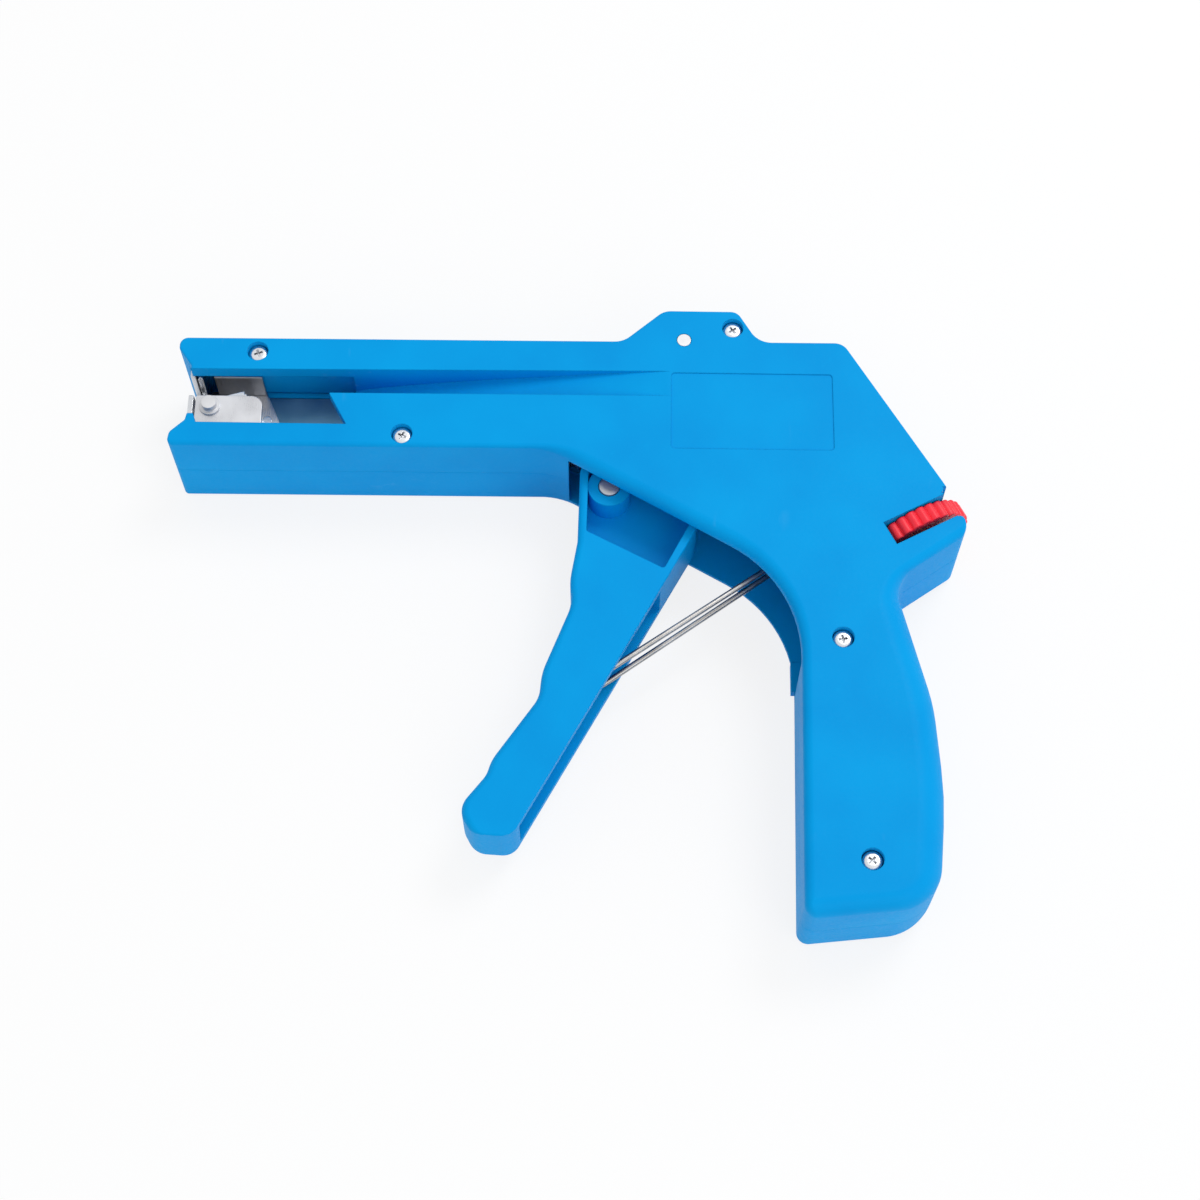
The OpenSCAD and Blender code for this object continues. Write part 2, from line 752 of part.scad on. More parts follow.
// Leaf spring under the pawl, seated on the carriage's lower fold
leaf_t = 0.4;
leaf_x0 = behind_tip(11.2);
leaf_x1 = behind_tip(17.7);
leaf_rise = 1.6;
module pawl_spring() {
  y0 = carriage_low_y + sheet_t;
  color(spring_steel) slab([[leaf_x0, y0], [leaf_x1, y0], [leaf_x1, y0 + leaf_t],
    [leaf_x0 + leaf_rise, y0 + leaf_t], [leaf_x1 - leaf_rise, y0 + leaf_t + leaf_rise],
    [leaf_x1 - leaf_rise, y0 + 2 * leaf_t + leaf_rise], [leaf_x0, y0 + leaf_t + leaf_t / 2]],
    pawl_z0 + slide_gap, pawl_z1 - slide_gap);
}

// Cutter lever and blade

tip_y = 2;
tip_w = 2.4;
arm_w = 3.6;
lever_hub_r = 4.5;
lever_hub_share = 0.8;
lever_bend_x = -34;
// The lever dips under the housing's wall in front of the hump, and again behind it
lever_dip = [-12, 8.6];
rear_bend = [12, 6.2];
rear_half = 2;
post_eye_r = 2.5;
post_up = 38.2;
spring_post_at = on_axis(post_up);
module cutter_lever() {
  z1 = lever_z0 + lever_t;
  low = tip_y + tip_w / 2 - arm_w;
  high = tip_y + tip_w / 2 + slide_gap;
  color(bright_steel) difference() {
    union() {
      post([0, pivot_y], lever_hub_r, lever_z0, z1);
      slab([[blade_x, tip_y - tip_w / 2], [blade_x + arm_w, tip_y - tip_w / 2],
            [blade_x + 2 * arm_w, low], [lever_bend_x, low],
            [lever_hub_r / 2, pivot_y - lever_hub_r * lever_hub_share],
            [-lever_hub_r * lever_hub_share, pivot_y],
            lever_dip, [lever_bend_x, high], [blade_x, tip_y + tip_w / 2]], lever_z0, z1);
      slab(strip([0, pivot_y], rear_bend, rear_half), lever_z0, z1);
      post(rear_bend, post_eye_r, lever_z0, z1);
      slab(strip(rear_bend, spring_post_at, rear_half), lever_z0, z1);
      post(spring_post_at, post_eye_r, lever_z0, z1);
    }
    post([0, pivot_y], pivot_r + bore_gap, lever_z0 - over, z1 + over);
    post(spring_post_at, spring_post_r, lever_z0 - over, z1 + over);
  }
}

spring_post_r = 1.3;
module spring_post() {
  color(bright_steel) post(spring_post_at, spring_post_r, lever_z0, mid_z + 2 * tension_wire_d);
}

blade_y0 = 4.9;
blade_y1 = 9.3;
blade_z1 = near_z1 - sheet_t - slide_gap;
stem_z1 = floor_z1 - 2 * slide_gap;
bevel = 0.8;
foot_wall = 1.4;
module cutter_blade() {
  hole_gap = slide_gap;
  color(bright_steel) difference() {
    translate([blade_x, 0, 0]) rotate([90, 0, 90]) linear_extrude(height = blade_t)
      polygon([[tip_y - tip_w / 2 - foot_wall, lever_z0], [blade_y1, lever_z0], [blade_y1, blade_z1],
               [blade_y0, blade_z1], [blade_y0, stem_z1], [tip_y - tip_w / 2 - foot_wall, stem_z1]]);
    block([blade_x - over, tip_y - tip_w / 2 - hole_gap, lever_z0 - over],
          [blade_x + blade_t + over, tip_y + tip_w / 2 + hole_gap, lever_z0 + lever_t + hole_gap]);
    translate([blade_x, blade_y0, stem_z1]) rotate([0, 0, 45])
      translate([-bevel, -bevel, 0]) cube([2 * bevel, bevel, body_t]);
  }
}

// Tension knob, its insert, washer and rod

flute_r = 1;
flute_share = 0.35;
insert_r = 3.8;
dish_depth = 0.4;
dish_r = 10;
module tension_knob() {
  color(knob_red) along_back(knob_at) difference() {
    translate([0, 0, -knob_t / 2]) cylinder(r = knob_r, h = knob_t);
    for (i = [0 : flutes - 1]) rotate([0, 0, i * 360 / flutes])
      translate([knob_r + flute_r * flute_share, 0, -knob_t]) cylinder(r = flute_r, h = 2 * knob_t);
    for (side = [0, 1]) mirror([0, 0, side]) translate([0, 0, knob_t / 2 - dish_depth])
      cylinder(r = dish_r, h = knob_t);
    translate([0, 0, -knob_t]) cylinder(r = insert_r, h = 2 * knob_t);
  }
}

module tube_on_axis(r1, r0, low, high) {
  along_back(knob_at) difference() {
    translate([0, 0, low]) cylinder(r = r1, h = high - low);
    translate([0, 0, low - over]) cylinder(r = r0, h = high - low + 2 * over);
  }
}

module knob_insert() {
  color(brass) tube_on_axis(insert_r, rod_r + bore_gap, -knob_t / 2, knob_t / 2);
}

module thrust_washer() {
  color(bright_steel) tube_on_axis(insert_r, rod_r + bore_gap, -slot_t / 2, -knob_t / 2 - bore_gap);
}

eye_t = 2;
eye_len = 4;
eye_half_share = 0.9;
eye_hole_r = 1.1;
module tension_rod() {
  half = rod_r * eye_half_share;
  color(bright_steel) along_back(knob_at) difference() {
    union() {
      translate([0, 0, eye_len - rod_reach]) cylinder(r = rod_r, h = rod_reach + rod_tail - eye_len);
      translate([-eye_t / 2, -half, -rod_reach]) cube([eye_t, 2 * half, eye_len]);
    }
    translate([-rod_r, 0, eye_len / 2 - rod_reach]) rotate([0, 90, 0])
      cylinder(r = eye_hole_r, h = 2 * rod_r);
  }
}

// Wound wire: a tube with six sides swept along a list of points

wire_sides = 6;
curl_steps = 8;
function wire_frame(t, up) = let (side = unit(cross(t, up))) [side, cross(side, t)];
module wire(path, r, ups) {
  n = len(path);
  rings = [for (i = [0 : n - 1])
    let (a = path[max(i - 1, 0)], b = path[min(i + 1, n - 1)], t = unit(b - a),
         f = wire_frame(t, ups[i]))
    [for (j = [0 : wire_sides - 1]) let (g = j * 360 / wire_sides)
      path[i] + f[0] * r * cos(g) + f[1] * r * sin(g)]];
  skin_wire(rings);
}

module skin_wire(rings) {
  n = len(rings[0]);
  m = len(rings);
  polyhedron(
    points = [for (r = rings) each r],
    faces = concat(
      [[for (i = [n - 1 : -1 : 0]) i]],
      [[for (i = [0 : n - 1]) (m - 1) * n + i]],
      [for (k = [0 : m - 2]) for (i = [0 : n - 1])
        each let (a = k * n + i, b = k * n + (i + 1) % n)
          [[a, b + n, a + n], [a, b, b + n]]]),
    convexity = 8);
}

// Least gap between a wire and itself, for points more than a turn apart
function wire_gap(path, skip, d) = min([for (i = [0 : len(path) - 1 - skip])
  for (j = [i + skip : len(path) - 1]) norm(path[i] - path[j])]) - d;

// Return spring: two coils on the pin, and a long loop that presses on the trigger's front wall
leg_angle = 215.9;
leg_half = 2;
leg_gap = 1.75;
return_curls = 3;
return_pitch = return_wire_d + curl_gap;
tang_len = 3;
leg_dir = [cos(leg_angle), sin(leg_angle)];
leg_start = return_at + left_of(leg_dir) * return_coil_r;

// The leg ends this side of the channel's front wall, which runs between two finger corners
wall_a = flat(finger(3));
wall_n = left_of(unit(flat(finger(4)) - wall_a));
leg_len = ((wall_a - leg_start) * wall_n + front_wall + return_wire_d / 2 + leg_gap)
  / (leg_dir * wall_n) - leg_half;
leg_end = leg_start + leg_dir * leg_len;
function at_z(v, z) = [v[0], v[1], z];
function return_half(side) = concat(
  [for (i = [0 : return_curls * curl_steps])
    let (g = leg_angle + 90 + i * 360 / curl_steps,
         z = mid_z + side * (leg_half + return_pitch * i / curl_steps))
    at_z(return_at + return_coil_r * [cos(g), sin(g)], z)],
  [at_z(leg_start - leg_dir * tang_len, mid_z + side * (leg_half + return_pitch * return_curls))]);
function backwards(list) = [for (i = [len(list) - 1 : -1 : 0]) list[i]];
return_path = concat(
  backwards(return_half(-1)),
  [for (g = [-90 : 30 : 90]) at_z(leg_end + leg_dir * leg_half * cos(g), mid_z + leg_half * sin(g))],
  return_half(1));
echo(return_spring_gap = wire_gap(return_path, curl_steps - 1, return_wire_d));
module return_spring() {
  color(spring_steel) wire(return_path, return_wire_d / 2,
    [for (p = return_path) norm(flat(p) - return_at) > 2 * return_coil_r
      ? at_z(left_of(leg_dir), 0) : at_z(flat(p) - return_at, 0)]);
}

// Tension spring: hooked through the rod's eye and round the lever's post
tension_coil_r = 2.7;
tension_pitch = tension_wire_d + curl_gap;
tension_low = rod_reach + tension_pitch;
hook_r = spring_post_r + (tension_wire_d + slide_gap) / 2;
hook_from = 45;
hook_to = 285;
hook_step = 30;
function off_axis(up, out, z) = at_z(on_axis(up) + back_out * out, mid_z + z);
tension_coil = [for (i = [0 : tension_curls * curl_steps]) let (g = 90 + i * 360 / curl_steps)
  off_axis(tension_low + tension_pitch * i / curl_steps, tension_coil_r * cos(g), tension_coil_r * sin(g))];
tension_hook = concat(
  [off_axis(tension_low + tension_pitch * (tension_curls + 1), hook_r, hook_r)],
  [for (g = [hook_from : hook_step : hook_to])
    off_axis(post_up - hook_r * cos(g), hook_r * sin(g), 0)]);
eye_up = rod_reach - eye_len / 2 + eye_hole_r - tension_wire_d / 2 - 2 * bore_gap;
tension_path = concat(
  [off_axis(eye_up, 0, -2 * tension_wire_d), off_axis(eye_up, 0, (eye_t + tension_wire_d) / 2 + slide_gap)],
  tension_coil, tension_hook);
echo(tension_spring_gap = wire_gap(tension_coil, curl_steps - 1, tension_wire_d));
module tension_spring() {
  color(spring_steel) wire(tension_path, tension_wire_d / 2,
    concat([for (i = [0 : len(tension_coil) + 1]) at_z(back_dir, 0)], [for (p = tension_hook) [0, 0, 1]]));
}

housing_left();
housing_right();
housing_screws();
trigger_pivot_pin();
nose_plate();
trigger();
link_pin();
pull_link();
link_front_pin();
pull_bar();
gripper_carriage();
carriage_rivets();
gripper_pawl();
pawl_pin();
pawl_spring();
cutter_blade();
cutter_lever();
spring_post();
tension_rod();
tension_spring();
tension_knob();
knob_insert();
thrust_washer();
return_spring();
return_spring_pin();
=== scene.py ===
"""Looks of a hand tool that tightens and cuts cable ties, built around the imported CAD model.

Lengths are in millimetres until a mesh is made. X runs from the nose to the back, Y from the
grip to the barrel, and Z from the right shell to the left one, as in the CAD model.
"""
import json
import math

import bmesh
import bpy
from mathutils import Matrix, Vector


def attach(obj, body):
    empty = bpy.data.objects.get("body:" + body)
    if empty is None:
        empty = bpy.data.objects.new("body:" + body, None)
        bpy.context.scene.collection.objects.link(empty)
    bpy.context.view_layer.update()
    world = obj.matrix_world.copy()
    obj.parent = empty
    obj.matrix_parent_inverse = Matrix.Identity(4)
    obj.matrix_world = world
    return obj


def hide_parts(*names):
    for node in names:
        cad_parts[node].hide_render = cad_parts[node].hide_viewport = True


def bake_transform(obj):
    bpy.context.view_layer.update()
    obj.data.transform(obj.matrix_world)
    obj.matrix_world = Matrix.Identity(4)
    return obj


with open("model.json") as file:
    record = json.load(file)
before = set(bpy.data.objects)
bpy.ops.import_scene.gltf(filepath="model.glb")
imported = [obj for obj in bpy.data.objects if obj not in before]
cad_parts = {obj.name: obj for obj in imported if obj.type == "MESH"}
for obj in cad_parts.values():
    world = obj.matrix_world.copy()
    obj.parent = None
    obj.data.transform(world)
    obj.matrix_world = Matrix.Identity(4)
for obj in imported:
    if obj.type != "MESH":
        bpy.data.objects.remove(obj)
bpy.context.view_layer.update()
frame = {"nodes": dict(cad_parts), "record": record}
NODES = frame["nodes"]
MM = 0.001

# Camera, as the photograph was taken

CAMERA_AT = (-13.96, -239.16, 449.06)
CAMERA_RIGHT = (0.99988, 0.01571, 0.0)
CAMERA_UP = (-0.01432, 0.91157, 0.41090)
CAMERA_BACK = (0.006455, -0.41085, 0.91168)
LENS = 69.09
SENSOR = 36.0


def add_camera():
    data = bpy.data.cameras.new("camera")
    data.lens = LENS
    data.sensor_width = SENSOR
    data.clip_start = 0.01
    data.clip_end = 30
    camera = bpy.data.objects.new("camera", data)
    turn = Matrix((CAMERA_RIGHT, CAMERA_UP, CAMERA_BACK)).transposed().to_4x4()
    camera.matrix_world = Matrix.Translation(Vector(CAMERA_AT) * MM) @ turn
    bpy.context.scene.collection.objects.link(camera)
    bpy.context.scene.camera = camera


add_camera()

# Sizes of the housing. Those that were fitted to the photograph once more differ a little from
# the CAD model's.

BODY_T = 24.0
MID_Z = BODY_T / 2
BARREL_Y = 12.7
PIVOT = (0.0, 13.5)
EDGE_WALL = 2.4
FACE_WALL = 3.2
INNER_Z = BODY_T - FACE_WALL
OVER = 1.0
GAP = 0.3
NOSE_X = -108.3
MOUTH_X = -104.6
MOUTH_HALF = 5.85
WINDOW_Y = (-7.9, 4.85)
BACK_SLANT = math.radians(27.9)
BACK_DIR = Vector((math.sin(BACK_SLANT), -math.cos(BACK_SLANT), 0))
BACK_OUT = Vector((math.cos(BACK_SLANT), math.sin(BACK_SLANT), 0))
KNOB_AT = Vector((49.272, -28.022, MID_Z))

# The point from which the back is measured, its rounded top, its swelling and the tail's tip
BACK_CORNER = Vector((34.6, 13.4, MID_Z))
BACK_TOP = BACK_CORNER - Vector((0.7, 0, 0))
SWELL = BACK_CORNER + BACK_DIR * 39.0 + BACK_OUT * 1.6
TAIL_TIP = BACK_CORNER + BACK_DIR * 50.1 + BACK_OUT * 1.1

SCREWS = [(-90.7, 9.4), (-59.1, -10.0), (10.4, 16.6), (32.1, -55.0), (36.5, -101.5)]
SCREW_HEAD_R = 2.1
SCREW_SINK_R = 2.25
SCREW_HEAD_Z = (21.0, 23.1)
SCREW_R = 1.1
SCREW_END_Z = 6.0
SCREW_GAP = 0.05
BOSS_R = 2.9

# Roundings of the face edges: the sharpest ones, the barrel's lower one, the throat's and the
# grip's front, the grip's bottom, its back, and the tail's underside
EDGE_R = 0.45
LOW_R = 1.0
THROAT_R = 2.5
FRONT_R = 2.0
BOTTOM_R = 3.4
PALM_R = 6.0
TAIL_R = 2.0

# Corners of the shells' outline: x, y, corner radius, rounding of the edge that follows
SHELL = [
    (-107.5, 12.6, 1.8, EDGE_R), (-107.5, 9.9, 1.5, EDGE_R),
    (MOUTH_X, MOUTH_HALF, 0.9, EDGE_R), (MOUTH_X, -MOUTH_HALF, 0.5, EDGE_R),
    (-104.9, -7.3, 0.8, EDGE_R), (-107.9, -10.2, 1.6, EDGE_R), (NOSE_X, -13.1, 1.2, LOW_R),
    (-27.2, -BARREL_Y, 16.0, THROAT_R),
    (24.0, -41.9, 28.0, FRONT_R), (23.2, -112.9, 2.5, BOTTOM_R),
    (49.9, -109.9, 10.5, PALM_R), (51.79, -87.02, 80.0, PALM_R),
    (50.36, -67.51, 40.0, PALM_R), (43.5, -41.3, 5.0, TAIL_R),
    (TAIL_TIP.x, TAIL_TIP.y, 3.2, EDGE_R), (SWELL.x, SWELL.y, 20.0, EDGE_R),
    (BACK_TOP.x, BACK_TOP.y, 3.2, EDGE_R), (15.9, 13.3, 5.0, EDGE_R),
    (11.4, 20.8, 2.5, EDGE_R), (-4.3, 20.8, 4.0, EDGE_R), (-13.0, 13.1, 5.0, EDGE_R)]
ROOM = [(MOUTH_X, BARREL_Y, 0.5, 0), (MOUTH_X, -BARREL_Y, 0.5, 0)] + SHELL[7:]

# The trigger, whose corners are shares of its length: x and y down from the pivot, and radius
TRIGGER_LEN = 110.7
TRIGGER_Z = (5.5, 18.5)
TRIGGER_WALL = 2.0
FRONT_WALL = 2.5
HUB_R = 4.0
HUB_CORNER_R = 0.96 * HUB_R
FINGER_R = 1.5
INNER_R = 0.4
FINGERS = [
    (-0.196, 0.258, 0.03), (-0.198, 0.405, 0.03), (-0.211, 0.487, 0.14), (-0.206, 0.535, 0.08),
    (-0.258, 0.672, 0.12), (-0.262, 0.722, 0.06), (-0.345, 0.845, 0.09), (-0.352, 0.872, 0.05),
    (-0.402, 0.937, 0.04), (-0.374, 0.987, 0.035), (-0.304, 0.991, 0.033), (0.028, 0.375, 0.1)]
LINK_PIN = (-15.5, -18.6)
LINK_Z = (7.7, 9.3)
ARM_FRONT = (-0.198, 0.397)
ARM_REAR = (-0.028, 0.485)
WEB_Z = (9.6, 11.6)
RIB = 1.8
LINK_BOSS_R = 4.5
LINK_BOSS_STEP = 0.8
LINK_ROOM = 1.5
LINK_BORE_R = 2.3
PIVOT_BORE_R = 1.55
OPEN_SHARE = 0.1


def on_trigger(x_share, y_share):
    return TRIGGER_LEN * x_share, PIVOT[1] - TRIGGER_LEN * y_share


def finger(i, edge=0.0):
    x, y = on_trigger(*FINGERS[i][:2])
    return x, y, TRIGGER_LEN * FINGERS[i][2], edge


TRIGGER = ([(-HUB_R, PIVOT[1] + HUB_R, HUB_CORNER_R, INNER_R)]
           + [finger(i, FINGER_R if i < 9 else INNER_R) for i in range(len(FINGERS))]
           + [(HUB_R, PIVOT[1] + HUB_R, HUB_CORNER_R, INNER_R)])
CHANNEL = ([(*on_trigger(*ARM_FRONT), 0.5, 0)] + [finger(i) for i in range(2, 10)]
           + [(*on_trigger(FINGERS[10][0] + OPEN_SHARE, FINGERS[10][1]), 0.5, 0),
              (*on_trigger(0.074, 0.538), 0.5, 0)])
ARM = [(*on_trigger(*ARM_FRONT), FRONT_WALL, 0), (*on_trigger(*ARM_REAR), FRONT_WALL, 0),
       (*on_trigger(*FINGERS[11][:2]), FRONT_WALL, 0), (HUB_R, PIVOT[1], FRONT_WALL, 0),
       (-HUB_R, PIVOT[1], FRONT_WALL, 0), (*on_trigger(*FINGERS[0][:2]), FRONT_WALL, 0)]

# Fineness of arcs and rounded edges, in degrees
ARC_STEP = 5.0
EDGE_STEP = 11.25
LEAST_R = 0.15
JOINT_CHAMFER = 0.06


def ring(corners, share_in=0.0, draw_in=0.0):
    """Points (x, y, edge rounding) of an outline drawn in by a share of its edge rounding."""
    points = []
    n = len(corners)
    for i in range(n):
        o, p, q = corners[i - 1], corners[i], corners[(i + 1) % n]
        t1 = Vector((p[0] - o[0], p[1] - o[1])).normalized()
        t2 = Vector((q[0] - p[0], q[1] - p[1])).normalized()
        n1, n2 = Vector((-t1.y, t1.x)), Vector((-t2.y, t2.x))
        d1, d2 = o[3] * share_in + draw_in, p[3] * share_in + draw_in
        det = n1.x * n2.y - n1.y * n2.x
        v = Vector((p[0] + (n2.y * d1 - n1.y * d2) / det, p[1] + (n1.x * d2 - n2.x * d1) / det))
        turn = math.atan2(t1.x * t2.y - t1.y * t2.x, t1.dot(t2))
        inner = max(p[2] - max(d1, d2), LEAST_R) if turn > 0 else p[2] + max(d1, d2)
        start = v - t1 * inner * math.tan(abs(turn) / 2)
        centre = start + n1 * inner * math.copysign(1, turn)
        steps = max(1, math.ceil(math.degrees(abs(turn)) / ARC_STEP))
        for j in range(steps + 1):
            f = j / steps
            c, s = math.cos(turn * f), math.sin(turn * f)
            w = start - centre
            points.append((centre.x + w.x * c - w.y * s, centre.y + w.x * s + w.y * c,
                           o[3] * (1 - f) + p[3] * f))
    return points


def stack(rings):
    """Closed mesh through a pile of rings of 3-D points, lowest first."""
    n = len(rings[0])
    verts = [p for r in rings for p in r]
    faces = [list(range(n - 1, -1, -1)), [(len(rings) - 1) * n + i for i in range(n)]]
    for k in range(len(rings) - 1):
        for i in range(n):
            a, b = k * n + i, k * n + (i + 1) % n
            faces.append([a, b, b + n, a + n])
    return verts, faces


def rounded_plate(corners, z0, z1, both=False):
    """Plate whose upper edge is rounded. The lower one is rounded too, or has a fine chamfer."""
    angles = [math.radians(EDGE_STEP * i) for i in range(int(90 / EDGE_STEP) + 1)]
    upper = [[(x, y, z1 - e * (1 - math.sin(a))) for x, y, e in ring(corners, 1 - math.cos(a))]
             for a in angles]
    if both:
        lower = [[(x, y, z0 + e * (1 - math.sin(a))) for x, y, e in ring(corners, 1 - math.cos(a))]
                 for a in reversed(angles)]
    else:
        lower = [[(x, y, z0) for x, y, e in ring(corners, 0, JOINT_CHAMFER)],
                 [(x, y, z0 + JOINT_CHAMFER) for x, y, e in ring(corners)]]
    return stack(lower + upper)


def prism(points, z0, z1):
    return stack([[(p[0], p[1], z0) for p in points], [(p[0], p[1], z1) for p in points]])


def disc(centre, r, z0, z1, sides=48):
    x, y = centre
    angles = [2 * math.pi * i / sides for i in range(sides)]
    return prism([(x + r * math.cos(a), y + r * math.sin(a)) for a in angles], z0, z1)


def box(low, high):
    return prism([(low[0], low[1]), (high[0], low[1]), (high[0], high[1]), (low[0], high[1])],
                 low[2], high[2])


def make_object(name, shape, place=None):
    """Object from vertices in millimetres and faces, moved by a matrix where one is given."""
    verts, faces = shape
    mesh = bpy.data.meshes.new(name)
    place = place or Matrix.Identity(4)
    mesh.from_pydata([(place @ Vector(v)) * MM for v in verts], [], faces)
    work = bmesh.new()
    work.from_mesh(mesh)
    bmesh.ops.recalc_face_normals(work, faces=work.faces)
    work.to_mesh(mesh)
    work.free()
    obj = bpy.data.objects.new(name, mesh)
    bpy.context.scene.collection.objects.link(obj)
    return obj


def baked(obj):
    """Applies the object's modifiers to its mesh."""
    graph = bpy.context.evaluated_depsgraph_get()
    mesh = bpy.data.meshes.new_from_object(obj.evaluated_get(graph))
    obj.modifiers.clear()
    obj.data = mesh
    return obj


def boolean(obj, tools, operation="DIFFERENCE"):
    """Cuts the tools out of obj, or joins them to it, and deletes them."""
    for tool in tools:
        step = obj.modifiers.new("step", "BOOLEAN")
        step.operation = operation
        step.solver = "EXACT"
        step.object = tool
        baked(obj)
    for tool in tools:
        bpy.data.objects.remove(tool)
    return obj


def finish_mesh(obj, sharp=32.0):
    """Smooth shading that keeps the sharp edges sharp and the flat faces flat."""
    mesh = obj.data
    work = bmesh.new()
    work.from_mesh(mesh)
    bmesh.ops.remove_doubles(work, verts=work.verts, dist=1e-7)
    bmesh.ops.dissolve_degenerate(work, edges=work.edges, dist=1e-7)
    work.to_mesh(mesh)
    work.free()
    for polygon in mesh.polygons:
        polygon.use_smooth = True
    mesh.set_sharp_from_angle(angle=math.radians(sharp))
    normals = obj.modifiers.new("normals", "WEIGHTED_NORMAL")
    normals.keep_sharp = True
    return obj


def settle(obj, body, slot, material, *replaced):
    """Gives a finished piece its material and body, and hides the CAD nodes it stands for."""
    obj.data.materials.clear()
    obj.data.materials.append(material)
    if body:
        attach(obj, body)
    if replaced:
        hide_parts(*replaced)
    return obj


# Materials


class Nodes:
    """Small helper that adds and links the nodes of one material."""

    def __init__(self, name):
        self.material = bpy.data.materials.new(name)
        self.material.use_nodes = True
        self.tree = self.material.node_tree
        self.shader = self.tree.nodes["Principled BSDF"]
        self.place = self.add("ShaderNodeTexCoord").outputs["Object"]

    def add(self, kind, **settings):
        node = self.tree.nodes.new(kind)
        for key, value in settings.items():
            setattr(node, key, value)
        return node

    def link(self, source, target):
        self.tree.links.new(source, target)

    def axes(self):
        split = self.add("ShaderNodeSeparateXYZ")
        self.link(self.place, split.inputs["Vector"])
        return split.outputs

    def noise(self, scale, detail=2.0, stretch=(1, 1, 1), rough=0.5):
        mapping = self.add("ShaderNodeMapping")
        mapping.inputs["Scale"].default_value = stretch
        self.link(self.place, mapping.inputs["Vector"])
        node = self.add("ShaderNodeTexNoise")
        node.inputs["Scale"].default_value = scale
        node.inputs["Detail"].default_value = detail
        node.inputs["Roughness"].default_value = rough
        self.link(mapping.outputs["Vector"], node.inputs["Vector"])
        return node.outputs["Fac"]

    def spread(self, source, low, high, to_low=0.0, to_high=1.0):
        node = self.add("ShaderNodeMapRange")
        for key, value in zip(("From Min", "From Max", "To Min", "To Max"),
                              (low, high, to_low, to_high)):
            node.inputs[key].default_value = value
        self.link(source, node.inputs["Value"])
        return node.outputs["Result"]

    def maths(self, operation, a, b):
        node = self.add("ShaderNodeMath", operation=operation)
        for socket, value in zip(node.inputs, (a, b)):
            if isinstance(value, (int, float)):
                socket.default_value = value
            else:
                self.link(value, socket)
        return node.outputs["Value"]

    def mix(self, share, a, b):
        node = self.add("ShaderNodeMix", data_type="RGBA")
        self.link(share, node.inputs["Factor"])
        for socket, value in ((node.inputs[6], a), (node.inputs[7], b)):
            if isinstance(value, tuple):
                socket.default_value = (*value, 1)
            else:
                self.link(value, socket)
        return node.outputs[2]

    def bump(self, height, strength, distance, edge=0.0):
        """Bump from a height, over edges that are softened by a small radius in millimetres."""
        node = self.add("ShaderNodeBump")
        node.inputs["Strength"].default_value = strength
        node.inputs["Distance"].default_value = distance * MM
        self.link(height, node.inputs["Height"])
        if edge:
            bevel = self.add("ShaderNodeBevel", samples=4)
            bevel.inputs["Radius"].default_value = edge * MM
            self.link(bevel.outputs["Normal"], node.inputs["Normal"])
        self.link(node.outputs["Normal"], self.shader.inputs["Normal"])

    def set(self, **values):
        for key, value in values.items():
            self.shader.inputs[key.replace("_", " ")].default_value = value


def plastic(name, base, light, scuff, roughness, edge, specular):
    """Satin moulded plastic: fine grain, soft clouds, and sparse pale scuffs."""
    n = Nodes(name)
    grain = n.noise(1500, 3, rough=0.65)
    fleck = n.noise(700, 2)
    clouds = n.noise(45, 3)
    colour = n.mix(n.spread(clouds, 0.3, 0.7), base, light)
    colour = n.mix(n.spread(fleck, 0.60, 0.85, 0, 0.35), colour, light)
    patch = n.spread(n.noise(38, 1), 0.60, 0.72)
    scratch = n.spread(n.noise(260, 2, (1, 0.22, 1)), 0.64, 0.72)
    colour = n.mix(n.maths("MULTIPLY", n.maths("MULTIPLY", patch, scratch), 0.3), colour, scuff)
    n.link(colour, n.shader.inputs["Base Color"])
    rough = n.spread(grain, 0.3, 0.7, roughness - 0.06, roughness + 0.08)
    n.link(rough, n.shader.inputs["Roughness"])
    height = n.maths("ADD", grain, n.maths("MULTIPLY", fleck, 0.8))
    n.bump(height, 0.35, 0.05, edge)
    n.set(Specular_IOR_Level=specular)
    return n.material


# Where the anvil's wall is in the carriage, and the colour of the shade painted on it
ANVIL_X = (-100.5 * MM, -89.5 * MM)
ANVIL_Y = (4.7 * MM, 5.0 * MM)
ANVIL_Z = (20.1 * MM, 19.5 * MM)
ANVIL_SHADE = (0.035, 0.035, 0.04)


def steel(name, base, light, roughness, lines=(1, 14, 14), edge=0.12, shade=False):
    """Rolled or drawn steel: fine lines along the sheet, cloudy stains, and, where asked, painted
    shade on the anvil's wall.
    """
    n = Nodes(name)
    line = n.noise(420, 3, lines)
    stain = n.noise(130, 4)
    colour = n.mix(n.spread(stain, 0.35, 0.7), base, light)
    if shade:
        # Painted shade on the anvil's wall, darkest at its front end and below its upper edge
        x, y, z = n.axes()
        wall = n.maths("MULTIPLY", n.spread(y, *ANVIL_Y), n.spread(z, *ANVIL_Z))
        shade_depth = n.spread(x, *ANVIL_X, 0.92, 0.45)
        colour = n.mix(n.maths("MULTIPLY", wall, shade_depth), colour, ANVIL_SHADE)
    n.link(colour, n.shader.inputs["Base Color"])
    rough = n.maths("ADD", n.spread(line, 0.3, 0.7, -0.05, 0.07),
                    n.spread(stain, 0.3, 0.8, -0.04, 0.08))
    n.link(n.maths("ADD", rough, roughness), n.shader.inputs["Roughness"])
    n.bump(line, 0.25, 0.012, edge)
    n.set(Metallic=1.0)
    return n.material


